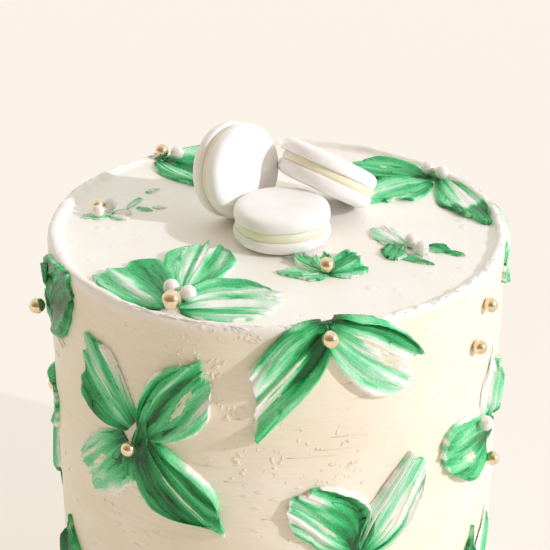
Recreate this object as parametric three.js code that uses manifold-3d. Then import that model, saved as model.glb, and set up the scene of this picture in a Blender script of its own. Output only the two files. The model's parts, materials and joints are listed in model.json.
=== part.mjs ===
// A round iced birthday cake with knife-painted cream flowers, sugar pearls and three macarons.
// Millimetres. Z is up and the origin is the centre of the underside. -Y is the front.
import * as THREE from 'three';
import Module from 'manifold-3d';
import { mergeVertices } from 'three/examples/jsm/utils/BufferGeometryUtils.js';

const wasm = await Module();
wasm.setup();

// ---------------------------------------------------------------- driving dimensions
const CAKE_RADIUS = 100;
const CAKE_HEIGHT = 190;
const CAKE_SIDES = 64;
const BASE_EDGE = 2.0;          // small rounding where the icing meets the base
const LIP_HEIGHT = 2.0;         // ridge of icing standing above the flat top
const LIP_WIDTH = 4.5;
const LIP_WAVES = [             // how the ridge rises and falls round the cake
  { turns: 2, size: 0.45, phase: 0.4 },
  { turns: 5, size: 0.30, phase: 2.1 },
  { turns: 9, size: 0.20, phase: 4.0 },
];
const TOP_LEVEL = CAKE_HEIGHT - LIP_HEIGHT;
const TOP_REACH = CAKE_RADIUS - 3.2;  // cream on the top stops against the ridge
const TOUCH_GAP = 0.32;         // air left between two pieces that touch
const FLOOR_GAP = 1.0;          // the lowest cream stays this far above the base
const PETAL_ROWS = 5;           // facets along a petal
const PETAL_COLUMNS = 4;        // facets across a petal
const PETAL_ROOT = 0.8;         // half width where the knife lifts off at the heart
const PETAL_SINK = 2.5;         // how far a petal reaches under the icing before it is trimmed
const PEARL_DETAIL = 1;
const HEART_RADIUS = 9;
const HEART_RISE = 1.3;
const FACET_MERGE = 0.14;       // facets flatter than this are joined
const SMALLEST_CRUMB = 25;      // cubic millimetres

const COLOURS = {
  icing: { color: 0xf6eedf, roughness: 0.6, metalness: 0 },
  cream: { color: 0x62c088, roughness: 0.5, metalness: 0 },
  shell: { color: 0xfaf6ec, roughness: 0.55, metalness: 0 },
  filling: { color: 0xe6d49c, roughness: 0.6, metalness: 0 },
  gold: { color: 0xd8b496, roughness: 0.3, metalness: 0.3 },
  white: { color: 0xf4f2ec, roughness: 0.3, metalness: 0 },
};

// ---------------------------------------------------------------- macarons
// Half of one macaron: the distance in from the widest radius and the height below the crown.
const SHELL_PROFILE = [
  { inset: 11, drop: 0.1 },
  { inset: 4, drop: 0.7 },
  { inset: 1.7, drop: 1.6 },
  { inset: 0.5, drop: 2.8 },
  { inset: 0.0, drop: 4.2 },
];
const SHELL_FOOT_INSET = 0.6;
const FILLING_HALF = 2.3;
const FILLING_INSET = 0.9;
const MACARON_SIDES = 24;
const MACARONS = [
  { name: 'standing_macaron', at: [-17.7, 11.2, 20.1], axis: [0.74, -0.66, 0.14], radius: 21.2, half: 8.6 },
  { name: 'lying_macaron', at: [2.4, -13.5, 7.05], axis: [0, 0, 1], radius: 20.9, half: 8.6 },
  {
    name: 'leaning_macaron', at: [23.0, 17.3, 15.7], axis: [0.42, 0.35, 0.84], radius: 22.3, half: 8.5,
    slide: [-1.5, 0.6],
  },
];

// ---------------------------------------------------------------- petals
// A petal is one knife stroke that widens away from the heart of its flower.
// turn: degrees from the cake's right (0) to up or back (90). left and right: half widths.
// widest: share of the length where it is widest. end: share of the width left at the far end.
// skew and tip: slant and roundness of the far end. bend: sideways bow at the far end.
// start: shift of the stroke's root from the heart. rise: heights of left edge, right edge,
// far end and middle above the icing.
function stroke(turn, long, left, right, shape, start, rise) {
  const [widest, end, skew, tip, bend] = shape;
  const [riseLeft, riseRight, riseEnd, middle] = rise;
  return { turn, long, left, right, widest, end, skew, tip, bend, start, riseLeft, riseRight, riseEnd, middle };
}

const RIM_PAIR = [
  stroke(228, 41.5, 12.6, 12, [0.41, 0.86, 0.28, 0, 1.3], [-3.5, 4.2], [4.0, 6.5, 2.5, 1.8]),
  stroke(-32, 45.7, 10.7, 19, [0.64, 0.51, -0.03, 0, -2.2], [-0.5, 7.7], [8.0, 5.0, 2.5, 2.6]),
];
const FOUR_STROKES = [
  stroke(139, 42, 18.7, 13.5, [0.76, 0.84, -0.06, 0.14, -3.7], [1.1, 8], [3.5, 3.2, 2.6, 1.9]),
  stroke(57, 46, 11.8, 15.7, [0.55, 0.46, 0.1, 0, -4.8], [4.4, 4.7], [5.0, 4.4, 3.2, 1.7]),
  stroke(230, 34.5, 19.5, 6.7, [0.59, 0.6, 0.13, 0, -3.3], [-5, 2], [3.2, 3.0, 3.6, 1.8]),
  stroke(-59, 49, 13.7, 14.3, [0.54, 0.11, -0.05, 0.09, 12], [4.9, 1.3], [6.5, 3.6, 2.6, 1.5]),
];
const LOW_FOUR = [
  stroke(129, 38.8, 8.7, 18.3, [0.41, 0.81, -0.13, 0.19, 5], [-6, -5.2], [3.6, 6.5, 3.2, 2.6]),
  stroke(56, 47.5, 8.9, 11.7, [0.38, 0.71, 0.03, 0.05, 0.7], [-0.8, -8], [5.0, 4.2, 3.2, 2.4]),
  stroke(-38, 40, 12, 13, [0.6, 0.5, 0, 0.12, -2], [1, -9], [4.5, 4.5, 2.6, 1.8]),
  stroke(222, 42, 13, 13, [0.6, 0.4, 0, 0.12, 3], [-5, -10], [4.0, 5.0, 2.6, 1.8]),
];
const SCALLOP_FLOWER = [
  stroke(190, 36.4, 15, 19.8, [0.6, 0.57, -0.07, 0.06, -9.3], [-6, 0], [5.5, 4.5, 5.5, 2.6]),
  stroke(112, 36, 9, 9, [0.55, 0.3, 0, 0.2, -2], [-1, 6], [4.0, 4.0, 2.5, 2.0]),
  stroke(52, 42, 10, 10, [0.55, 0.3, 0, 0.2, 2], [3, 5], [4.5, 4.0, 3.0, 2.0]),
  stroke(-64, 38, 12, 12, [0.6, 0.4, 0, 0.12, 0], [2, -4], [4.5, 4.0, 2.6, 1.8]),
];
const TALL_PAIR = [
  stroke(100, 48, 7.5, 8, [0.5, 0.15, 0, 0.15, 1], [-4, 0], [4.0, 3.5, 2.5, 2.0]),
  stroke(64, 46, 8, 9, [0.5, 0.2, 0, 0.15, -2], [4, 0], [4.5, 3.5, 2.5, 2.0]),
];

// on: 'wall' counts u round the cake in mm from the front (right +) and v up from the rim.
// on: 'top' counts u to the right and v to the back from the middle of the top.
// pearls: u, v, radius, height of the pearl's centre above the icing, kind.
const FLOWERS = [
  {
    name: 'top_front_flower', on: 'top', at: [-40, -72],
    strokes: [
      stroke(138, 40.4, 9, 23.8, [0.73, 0.7, -0.03, 0, -4.7], [-5.9, -8], [3.0, 5.5, 2.8, 1.9]),
      stroke(78, 45, 14.4, 14.6, [0.69, 0.3, 0, 0.15, 0.7], [2.4, 8], [5.0, 4.6, 2.8, 2.0]),
      stroke(9, 39.5, 22.9, 11.1, [0.47, 0.67, 0.16, 0.1, -6.1], [1.5, -8], [5.0, 3.0, 2.6, 2.2]),
    ],
    pearls: [[-41.6, -81.6, 4.0, 5.2, 'gold'], [-42.2, -70.6, 3.4, 5.4, 'white'], [-35.2, -75.4, 3.4, 5.0, 'white']],
  },
  {
    name: 'top_back_left_flower', on: 'top', at: [-54, 76],
    strokes: [
      stroke(-48, 46, 15, 12, [0.45, 0.5, 0, 0.15, 0], [-5, -1], [5.0, 5.0, 2.8, 1.8]),
      stroke(22, 30, 7, 7, [0.5, 0.6, 0, 0.15, 0], [3, 3], [4.0, 3.6, 2.4, 1.8]),
    ],
    pearls: [[-54.7, 76.4, 3.3, 5.0, 'gold'], [-47.3, 74.2, 3.2, 4.8, 'white']],
  },
  {
    name: 'top_front_dab', on: 'top', at: [21, -47],
    strokes: [
      stroke(168, 21, 5, 6, [0.6, 0.7, 0, 0.15, 0], [0, 0], [2.2, 2.6, 2.0, 1.4]),
      stroke(145, 18, 5, 6, [0.6, 0.7, 0, 0.15, 0], [0, 0], [3.4, 4.0, 4.4, 2.2]),
      stroke(84, 15.5, 6, 5, [0.6, 0.7, 0, 0.15, 0], [0, 0], [5.0, 4.6, 5.4, 3.0]),
      stroke(44, 21, 7, 6, [0.6, 0.6, 0, 0.15, 0], [0, 0], [4.6, 3.6, 4.2, 2.6]),
      stroke(0, 14, 6, 5, [0.6, 0.6, 0, 0.15, 0], [0, 0], [2.2, 2.0, 1.8, 1.4]),
    ],
    pearls: [[20.9, -47.5, 3.4, 4.0, 'gold']],
  },
  {
    name: 'top_right_dab', on: 'top', at: [56, -20],
    strokes: [
      stroke(117, 25, 6, 7, [0.5, 0.8, 0, 0.15, 0], [0, -2], [1.6, 2.2, 1.6, 1.2]),
      stroke(262, 18, 7, 6, [0.5, 0.6, 0, 0.15, 0], [-4, 1], [2.0, 2.0, 1.4, 1.2]),
      stroke(-62, 15, 5, 4, [0.5, 0.6, 0, 0.15, 0], [-1, 0], [1.6, 1.6, 1.2, 1.2]),
      stroke(-32, 19, 2.6, 2.6, [0.4, 0.3, 0, 0.15, 0], [-5, -10], [1.2, 1.2, 1.0, 1.0]),
      stroke(-38, 18, 3.5, 3, [0.35, 0.3, 0, 0.15, 0], [4, -6], [1.4, 1.4, 1.0, 1.0]),
    ],
    pearls: [[57.7, -23.1, 3.2, 3.9, 'white'], [61.4, -30, 3.2, 3.7, 'white']],
  },
  {
    name: 'top_back_right_flower', on: 'top', at: [73, 56],
    strokes: [
      stroke(158, 36, 10.3, 11.5, [0.68, 0.2, 0, 0.1, 0.6], [-4.1, 0], [3.6, 4.6, 2.6, 2.0]),
      stroke(227, 39.7, 13.3, 11.5, [0.58, 0.33, 0, 0.16, 2], [-3.1, -7.8], [4.0, 4.4, 2.6, 2.0]),
      stroke(-73, 54, 7, 12.3, [0.7, 0.56, 0, 0.2, -0.9], [5.3, -2.9], [5.0, 4.6, 4.6, 2.0]),
    ],
    pearls: [[70.8, 55.9, 3.2, 4.6, 'white'], [76.8, 50.7, 3.2, 4.6, 'white']],
  },
  {
    name: 'top_left_dab', on: 'top', at: [-75, 13],
    strokes: [
      stroke(20, 19, 3.5, 3, [0.5, 0.5, 0, 0.15, 2], [2, 0], [1.2, 1.2, 1.0, 1.0]),
      stroke(196, 12, 3.5, 4, [0.5, 0.5, 0, 0.15, 0], [0, -2], [1.2, 1.2, 1.0, 1.0]),
      stroke(-28, 15, 3, 3, [0.5, 0.5, 0, 0.15, 0], [1, -1], [1.2, 1.2, 1.0, 1.0]),
    ],
    pearls: [[-82, 18.6, 2.8, 3.3, 'gold'], [-75.8, 16.6, 2.8, 3.4, 'white'], [-79, 9.4, 2.8, 3.3, 'white']],
  },
  {
    name: 'rim_left_flower', on: 'wall', at: [-139, -31],
    strokes: [
      stroke(52, 46, 12, 11, [0.5, 0.6, 0, 0.12, 0], [0, 0], [6.0, 6.0, 3.5, 2.4]),
      stroke(16, 41, 14, 13, [0.5, 0.7, 0, 0.12, 0], [0, 0], [6.5, 5.0, 4.0, 2.4]),
      stroke(205, 42, 13, 13, [0.6, 0.5, 0, 0.12, 0], [-8, 2], [3.5, 3.5, 2.6, 1.8]),
    ],
    pearls: [[-138.5, -31.5, 3.5, 6.6, 'gold']],
  },
  {
    name: 'wall_left_flower', on: 'wall', at: [-62, -62], strokes: FOUR_STROKES,
    pearls: [[-63.4, -63.6, 3.2, 5.0, 'gold']],
  },
  {
    name: 'rim_front_flower', on: 'wall', at: [22, -5], strokes: RIM_PAIR,
    pearls: [[19.6, -4.2, 3.6, 6.0, 'gold']],
  },
  { name: 'wall_low_front_flower', on: 'wall', at: [38, -100], strokes: LOW_FOUR, pearls: [] },
  {
    name: 'wall_right_flower', on: 'wall', at: [121, -82], strokes: SCALLOP_FLOWER,
    pearls: [[107.5, -72.4, 3.3, 5.0, 'white'], [116, -96, 3.2, 5.0, 'gold']],
  },
  { name: 'wall_low_right_flower', on: 'wall', at: [108, -166], strokes: TALL_PAIR, pearls: [] },
  {
    name: 'wall_low_left_flower', on: 'wall', at: [-112, -174],
    strokes: [
      stroke(97, 48, 14, 14, [0.45, 0.05, 0, 0.12, 0], [0, 0], [5.0, 4.0, 2.4, 2.2]),
    ],
    pearls: [],
  },
  {
    name: 'wall_far_left_flower', on: 'wall', at: [-171, -92],
    strokes: [
      stroke(24, 45, 14, 14, [0.6, 0.5, 0, 0.12, 0], [0, 0], [4.0, 3.6, 2.6, 2.0]),
      stroke(150, 42, 13, 13, [0.6, 0.5, 0, 0.12, 0], [0, 0], [4.5, 4.0, 2.6, 2.0]),
      stroke(-80, 44, 14, 14, [0.6, 0.4, 0, 0.12, 0], [0, -3], [4.5, 4.0, 2.6, 2.0]),
    ],
    pearls: [[-172, -90, 3.3, 5.0, 'gold']],
  },
  {
    name: 'rim_right_flower', on: 'wall', at: [178, -12],
    strokes: [
      stroke(184, 34, 11, 10, [0.5, 0.4, 0, 0.15, 0], [0, 2], [4.5, 4.5, 2.6, 2.0]),
      stroke(-58, 42, 14, 13, [0.6, 0.45, 0, 0.12, 0], [4, -3], [4.5, 4.0, 2.6, 2.0]),
      stroke(252, 36, 12, 11, [0.6, 0.5, 0, 0.12, 0], [-4, -4], [4.0, 4.0, 2.6, 2.0]),
    ],
    pearls: [[179, -11, 3.3, 5.0, 'gold']],
  },
  {
    name: 'lone_wall', on: 'wall', at: [101, -22], strokes: [],
    pearls: [[105.4, -14.9, 3.2, 2.7, 'gold'], [97.3, -31, 3.2, 2.7, 'gold']],
  },
];

// The side away from the front carries the same kinds of flower, turned as a whole.
const BACK_PLACES = [
  { name: 'back_flower_one', at: [258, -58], turned: -20, strokes: FOUR_STROKES.slice(0, 3) },
  { name: 'back_flower_two', at: [-232, -14], turned: 0, strokes: RIM_PAIR },
  { name: 'back_flower_three', at: [-258, -126], turned: 150, strokes: FOUR_STROKES },
  { name: 'back_flower_four', at: [288, -146], turned: 20, strokes: SCALLOP_FLOWER },
  { name: 'back_flower_five', at: [200, -142], turned: -8, strokes: LOW_FOUR.slice(0, 3) },
];
for (const place of BACK_PLACES) {
  const [u, v] = place.at;
  const strokes = place.strokes.map((s) => turnedStroke(s, place.turned));
  const pearls = [[u - 1, v + (place.turned === 0 ? 1 : -1), 3.3, 5.0, 'gold']];
  FLOWERS.push({ name: place.name, on: 'wall', at: place.at, strokes, pearls });
}

function turnedStroke(source, degrees) {
  const angle = THREE.MathUtils.degToRad(degrees);
  const [x, y] = source.start;
  const start = [
    x * Math.cos(angle) - y * Math.sin(angle),
    x * Math.sin(angle) + y * Math.cos(angle),
  ];
  return { ...source, turn: source.turn + degrees, start };
}

// ---------------------------------------------------------------- helpers
function smoothClamp(value, low, high) {
  return Math.min(Math.max(value, low), high);
}

function lipWave(angle) {
  let height = 0;
  for (const wave of LIP_WAVES) {
    height += wave.size * Math.sin(wave.turns * angle + wave.phase);
  }
  return height;
}

function toSolid(geometry) {
  const clean = geometry.clone();
  clean.deleteAttribute('normal');
  clean.deleteAttribute('uv');
  const merged = mergeVertices(clean, 1e-4);
  const mesh = new wasm.Mesh({
    numProp: 3,
    vertProperties: new Float32Array(merged.attributes.position.array),
    triVerts: new Uint32Array(merged.index.array),
  });
  return new wasm.Manifold(mesh);
}

// Trimming can leave loose crumbs of cream, which are dropped.
function withoutCrumbs(solid) {
  const kept = solid.decompose().filter((part) => part.volume() > SMALLEST_CRUMB);
  return wasm.Manifold.union(kept).asOriginal().simplify(FACET_MERGE);
}

function toGeometry(solid) {
  const mesh = solid.getMesh();
  const geometry = new THREE.BufferGeometry();
  geometry.setAttribute('position', new THREE.BufferAttribute(new Float32Array(mesh.vertProperties), 3));
  geometry.setIndex(new THREE.BufferAttribute(new Uint32Array(mesh.triVerts), 1));
  geometry.computeVertexNormals();
  return geometry;
}

function piece(name, geometry, kind) {
  const material = new THREE.MeshStandardMaterial(COLOURS[kind]);
  const mesh = new THREE.Mesh(geometry, material);
  mesh.name = name;
  return mesh;
}

function revolve(profile, sides) {
  const points = profile.map(([r, z]) => new THREE.Vector2(r, z));
  const geometry = new THREE.LatheGeometry(points, sides);
  geometry.rotateX(Math.PI / 2);
  return geometry;
}

// ---------------------------------------------------------------- cake
// The whole cake in one profile. grow pushes every face outwards by that much.
function cakeGeometry(grow) {
  const wall = CAKE_RADIUS + grow;
  const crest = CAKE_HEIGHT + grow;
  const profile = [
    [0, -grow],
    [CAKE_RADIUS - BASE_EDGE, -grow],
    [wall, BASE_EDGE - grow],
    [wall, CAKE_HEIGHT - 3],
    [wall - 0.6, CAKE_HEIGHT - 1.0],
    [wall - 1.6, crest],
    [wall - LIP_WIDTH + 1.6, crest - 0.3],
    [CAKE_RADIUS - LIP_WIDTH - grow, TOP_LEVEL + grow],
    [0, TOP_LEVEL + grow],
  ];
  const geometry = revolve(profile, CAKE_SIDES);
  const place = geometry.attributes.position;
  for (let i = 0; i < place.count; i += 1) {
    const z = place.getZ(i);
    if (z > TOP_LEVEL + 0.8) {
      const angle = Math.atan2(place.getY(i), place.getX(i));
      const share = smoothClamp((z - TOP_LEVEL) / LIP_HEIGHT, 0, 1);
      place.setZ(i, z + share * lipWave(angle));
    }
  }
  return geometry;
}

// ---------------------------------------------------------------- petals
function petalHalfWidth(source, s) {
  if (s < source.widest) {
    return Math.sin((Math.PI / 2) * (s / source.widest)) ** 0.8;
  }
  const past = (s - source.widest) / (1 - source.widest);
  return source.end + (1 - source.end) * Math.max(Math.cos((Math.PI / 2) * past), 0) ** 0.8;
}

// s runs from the heart (0) to the far end (1), t from the right edge (-1) to the left (1).
function petalSpot(source, s, t) {
  const side = t > 0 ? source.left : source.right;
  const along = s * source.long * (1 - source.tip * t * t + source.skew * t);
  const across = t * (side * petalHalfWidth(source, s) + PETAL_ROOT) + source.bend * s * s;
  const angle = THREE.MathUtils.degToRad(source.turn);
  return [
    along * Math.cos(angle) - across * Math.sin(angle),
    along * Math.sin(angle) + across * Math.cos(angle),
  ];
}

// A shallow trough: raised side edges, a hollow middle and a thick far end.
function petalRise(source, s, t) {
  const edge = t > 0 ? source.riseLeft : source.riseRight;
  const body = source.middle * (0.45 + 0.55 * s);
  const swell = Math.sin(Math.PI * smoothClamp(0.12 + 0.8 * s, 0, 1)) ** 0.7;
  const lip = (edge - body) * swell * Math.abs(t) ** 1.8;
  const far = smoothClamp((s - 0.75) / 0.25, 0, 1);
  return (body + Math.max(lip, 0)) * (1 - 0.35 * far) + source.riseEnd * 0.35 * far;
}

function onSurface(on, u, v, rise) {
  if (on === 'top') {
    return [u, v, TOP_LEVEL + rise];
  }
  const angle = u / CAKE_RADIUS;
  const radius = CAKE_RADIUS + rise;
  return [radius * Math.sin(angle), -radius * Math.cos(angle), CAKE_HEIGHT + v];
}

// The far end and the rims of a petal are tucked down to the icing, so that it closes.
function petalSolid(flower, source) {
  const rows = PETAL_ROWS;
  const columns = PETAL_COLUMNS;
  const positions = [];
  const index = [];
  const stride = columns + 1;
  for (const layer of ['top', 'under']) {
    for (let i = 0; i <= rows; i += 1) {
      for (let j = 0; j <= columns; j += 1) {
        const s = i / rows;
        const t = (2 * j) / columns - 1;
        const [x, y] = petalSpot(source, s, t);
        let u = flower.at[0] + source.start[0] + x;
        let v = flower.at[1] + source.start[1] + y;
        if (flower.on === 'wall') {
          v = Math.max(v, FLOOR_GAP - CAKE_HEIGHT);
        }
        if (flower.on === 'top') {
          const inward = Math.min(TOP_REACH / Math.hypot(u, v), 1);
          u *= inward;
          v *= inward;
        }
        const rise = layer === 'top' ? petalRise(source, s, t) : -PETAL_SINK;
        positions.push(...onSurface(flower.on, u, v, rise));
      }
    }
  }
  const under = (rows + 1) * stride;
  const at = (i, j) => i * stride + j;
  const quad = (a, b, c, d) => {
    index.push(a, b, c, a, c, d);
  };
  for (let i = 0; i < rows; i += 1) {
    for (let j = 0; j < columns; j += 1) {
      quad(at(i, j), at(i + 1, j), at(i + 1, j + 1), at(i, j + 1));
      quad(under + at(i, j), under + at(i, j + 1), under + at(i + 1, j + 1), under + at(i + 1, j));
    }
    quad(at(i, 0), under + at(i, 0), under + at(i + 1, 0), at(i + 1, 0));
    quad(at(i + 1, columns), under + at(i + 1, columns), under + at(i, columns), at(i, columns));
  }
  for (let j = 0; j < columns; j += 1) {
    quad(at(0, j + 1), under + at(0, j + 1), under + at(0, j), at(0, j));
    quad(at(rows, j), under + at(rows, j), under + at(rows, j + 1), at(rows, j + 1));
  }
  const geometry = new THREE.BufferGeometry();
  geometry.setAttribute('position', new THREE.BufferAttribute(new Float32Array(positions), 3));
  geometry.setIndex(index);
  return toSolid(geometry);
}

// The thin pool of cream under the pearls, where all the strokes of a flower meet.
function heartStroke(flower) {
  const radius = flower.heart ?? HEART_RADIUS;
  const count = flower.strokes.length;
  const u = flower.strokes.reduce((sum, s) => sum + s.start[0], 0) / count;
  const v = flower.strokes.reduce((sum, s) => sum + s.start[1], 0) / count;
  const rise = [HEART_RISE, HEART_RISE, HEART_RISE, HEART_RISE];
  return stroke(0, 2 * radius, radius, radius, [0.5, 0.2, 0, 0, 0], [u - radius, v], rise);
}

// ---------------------------------------------------------------- pearls
function pearlGeometry(centre, radius) {
  const geometry = new THREE.IcosahedronGeometry(radius, PEARL_DETAIL);
  geometry.deleteAttribute('normal');
  geometry.deleteAttribute('uv');
  const merged = mergeVertices(geometry, 1e-4);
  merged.translate(...centre);
  return merged;
}

// ---------------------------------------------------------------- macarons
function shellProfile(radius, half) {
  const rim = SHELL_PROFILE.map((p) => [radius - p.inset, half - p.drop]);
  const foot = FILLING_HALF + TOUCH_GAP;
  return [[0, half], ...rim, [radius - SHELL_FOOT_INSET, foot], [0, foot]];
}

function aimed(geometry, at, axis) {
  const direction = new THREE.Vector3(...axis).normalize();
  const turn = new THREE.Quaternion().setFromUnitVectors(new THREE.Vector3(0, 0, 1), direction);
  geometry.applyQuaternion(turn);
  geometry.translate(at[0], at[1], at[2] + CAKE_HEIGHT);
  return geometry;
}

function macaronPieces(plan) {
  const [slide, wider] = plan.slide ?? [0, 0];
  const upperProfile = shellProfile(plan.radius + wider, plan.half).reverse();
  const upper = revolve(upperProfile, MACARON_SIDES);
  upper.translate(slide, 0, 0);
  const lowerProfile = shellProfile(plan.radius, plan.half).map(([r, z]) => [r, -z]);
  const lower = revolve(lowerProfile, MACARON_SIDES);
  const edge = plan.radius - FILLING_INSET;
  const fillingProfile = [
    [0, -FILLING_HALF],
    [edge - 0.5, -FILLING_HALF],
    [edge, 0],
    [edge - 0.5, FILLING_HALF],
    [0, FILLING_HALF],
  ];
  const filling = revolve(fillingProfile, MACARON_SIDES);
  return [
    piece(`${plan.name}_lower_shell`, aimed(lower, plan.at, plan.axis), 'shell'),
    piece(`${plan.name}_filling`, aimed(filling, plan.at, plan.axis), 'filling'),
    piece(`${plan.name}_upper_shell`, aimed(upper, plan.at, plan.axis), 'shell'),
  ];
}

// ---------------------------------------------------------------- the whole cake
const group = new THREE.Group();
group.name = 'birthday_cake';

const allPearls = [];
for (const flower of FLOWERS) {
  flower.pearls.forEach(([u, v, radius, rise, kind], number) => {
    const centre = onSurface(flower.on, u, v, rise);
    allPearls.push({ name: `${flower.name}_pearl_${number + 1}`, centre, radius, kind });
  });
}

let cake = toSolid(cakeGeometry(0));
const cakeGrown = toSolid(cakeGeometry(TOUCH_GAP));
const seats = allPearls.map((p) => toSolid(pearlGeometry(p.centre, p.radius + TOUCH_GAP * 1.3)));
for (const seat of seats) {
  cake = cake.subtract(seat);
}
group.add(piece('cake', toGeometry(cake), 'icing'));

for (const flower of FLOWERS) {
  if (flower.strokes.length > 0) {
    let cream = petalSolid(flower, heartStroke(flower));
    for (const source of flower.strokes) {
      cream = cream.add(petalSolid(flower, source));
    }
    cream = cream.subtract(cakeGrown);
    for (const seat of seats) {
      cream = cream.subtract(seat);
    }
    group.add(piece(flower.name, toGeometry(withoutCrumbs(cream)), 'cream'));
  }
}

for (const pearl of allPearls) {
  group.add(piece(pearl.name, pearlGeometry(pearl.centre, pearl.radius), pearl.kind));
}

for (const plan of MACARONS) {
  group.add(...macaronPieces(plan));
}

export default group;
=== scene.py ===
# %% [markdown]
# # A birthday cake with knife-painted flowers
#
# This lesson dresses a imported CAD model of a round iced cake. The CAD gives every
# piece its size and place. Here each one is made again with the softness of real
# cream: spatula marks in the icing, ridges in every petal, macarons and pearls.
# Lengths are written in millimetres, because that is how a baker measures.

import json
import math

import bpy
import numpy as np
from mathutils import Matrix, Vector


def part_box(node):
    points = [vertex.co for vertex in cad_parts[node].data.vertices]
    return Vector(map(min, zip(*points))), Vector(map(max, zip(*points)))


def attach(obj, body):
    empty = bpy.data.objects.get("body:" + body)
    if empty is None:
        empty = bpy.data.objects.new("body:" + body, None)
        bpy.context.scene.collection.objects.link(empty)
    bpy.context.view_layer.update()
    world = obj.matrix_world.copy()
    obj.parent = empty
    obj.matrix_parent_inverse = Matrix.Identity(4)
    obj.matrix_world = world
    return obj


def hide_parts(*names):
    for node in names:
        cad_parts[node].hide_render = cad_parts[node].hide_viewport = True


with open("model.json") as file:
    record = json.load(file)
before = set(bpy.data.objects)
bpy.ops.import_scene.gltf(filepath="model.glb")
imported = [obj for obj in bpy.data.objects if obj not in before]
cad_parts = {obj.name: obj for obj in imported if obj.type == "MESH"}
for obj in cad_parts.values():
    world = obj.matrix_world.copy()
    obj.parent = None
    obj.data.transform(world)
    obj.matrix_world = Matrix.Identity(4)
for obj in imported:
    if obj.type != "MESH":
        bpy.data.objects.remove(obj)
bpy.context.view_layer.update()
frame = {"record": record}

# %% [markdown]
# ## Sizes that everything shares
#
# The icing is a cylinder with a low ridge round its flat top. Flowers are placed in
# two flat maps: `wall`, where u runs round the cake from the front and v runs up from
# the rim, and `top`, where u runs right and v runs back from the middle.

# %% Sizes
MM = 0.001
CAKE_RADIUS = 100.0
CAKE_HEIGHT = 190.0
LIP_HEIGHT = 2.0
TOP_LEVEL = CAKE_HEIGHT - LIP_HEIGHT
TOP_REACH = 96.8  # how far from the middle a flower on the top may reach
FLOOR_GAP = 1.0  # how far above the floor the flowers on the wall end
print("flat top of the icing at", TOP_LEVEL, "mm")

# %% [markdown]
# ## Helpers for shapes
#
# Nothing made by hand is quite even, so most shapes here are moved a little by soft
# noise. It repeats after `NOISE_PERIOD` steps, so its ends meet where a whole number of
# periods is laid round the cake.

# %% Noise, points and joining
NOISE_PERIOD = 64


def soft_noise(x, y, seed):
    """Smooth random values from -1 to 1 over a plane, the same in every run."""
    table = np.random.default_rng(seed).uniform(-1, 1, (NOISE_PERIOD, NOISE_PERIOD))
    x, y = np.asarray(x, float), np.asarray(y, float)
    column, row = np.floor(x).astype(int), np.floor(y).astype(int)
    fx, fy = x - column, y - row
    fx, fy = fx * fx * (3 - 2 * fx), fy * fy * (3 - 2 * fy)

    def corner(i, j):
        return table[(column + i) % NOISE_PERIOD, (row + j) % NOISE_PERIOD]

    low = corner(0, 0) * (1 - fx) + corner(1, 0) * fx
    high = corner(0, 1) * (1 - fx) + corner(1, 1) * fx
    return low * (1 - fy) + high * fy


def smooth_step(low, high, value):
    """0 below low, 1 above high and an even curve between."""
    share = np.clip((value - low) / (high - low), 0, 1)
    return share * share * (3 - 2 * share)


def rotate(x, y, degrees):
    """Turns places in a flat map round its origin."""
    cos, sin = math.cos(math.radians(degrees)), math.sin(math.radians(degrees))
    return x * cos - y * sin, x * sin + y * cos


def read_points(obj):
    """The places of an object's points, one row for each."""
    points = np.zeros(len(obj.data.vertices) * 3)
    obj.data.vertices.foreach_get("co", points)
    return points.reshape(-1, 3)


def write_points(obj, points):
    """Moves an object's points to new places."""
    obj.data.vertices.foreach_set("co", points.ravel())


def select_only(obj):
    """Makes obj the one selected and active object."""
    bpy.ops.object.select_all(action="DESELECT")
    obj.select_set(True)
    bpy.context.view_layer.objects.active = obj


def join_pieces(pieces, name):
    """Joins objects into the first of them, under one name."""
    select_only(pieces[0])
    for piece in pieces:
        piece.select_set(True)
    bpy.ops.object.join()
    pieces[0].name = name
    return pieces[0]


print("soft noise at one place", float(soft_noise(0.5, 0.5, 1)))

# %% [markdown]
# ## Shader helpers
#
# A few small helpers keep the node trees readable. Each adds one kind of node, links
# it and returns the socket that comes out. A colour ramp is given as (place, colour)
# stops, and `stretched` draws a texture out along one axis, as a tool does with cream.

# %% Shader helpers
BLACK, WHITE = (0, 0, 0, 1), (1, 1, 1, 1)


def srgb(red, green, blue):
    """A colour named by its screen values, as the linear values that a shader takes."""
    linear = []
    for value in (red, green, blue):
        c = value / 255
        linear.append(c / 12.92 if c <= 0.04045 else ((c + 0.055) / 1.055) ** 2.4)
    return (*linear, 1.0)


def add_node(tree, kind, **sockets):
    """Adds a node and sets its input sockets or properties by name."""
    node = tree.nodes.new(kind)
    for key, value in sockets.items():
        name = key.replace("_", " ")
        found = [s for s in node.inputs if s.name.lower() == name.lower()]
        if found:
            found[0].default_value = value
        else:
            setattr(node, key, value)
    return node


def ramped(tree, value, stops, smooth="EASE"):
    """Sends a value through a colour ramp with the given (place, colour) stops."""
    node = tree.nodes.new("ShaderNodeValToRGB")
    node.color_ramp.interpolation = smooth
    while len(node.color_ramp.elements) > 1:
        node.color_ramp.elements.remove(node.color_ramp.elements[-1])
    node.color_ramp.elements[0].position = stops[0][0]
    node.color_ramp.elements[0].color = stops[0][1]
    for place, colour in stops[1:]:
        node.color_ramp.elements.new(place).color = colour
    tree.links.new(value, node.inputs[0])
    return node.outputs[0]


def math_node(tree, operation, first, second=None):
    """A Math node; each input is a socket or a number."""
    node = tree.nodes.new("ShaderNodeMath")
    node.operation = operation
    for slot, value in enumerate((first, second)):
        if value is None:
            continue
        if isinstance(value, (int, float)):
            node.inputs[slot].default_value = value
        else:
            tree.links.new(value, node.inputs[slot])
    return node.outputs[0]


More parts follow.
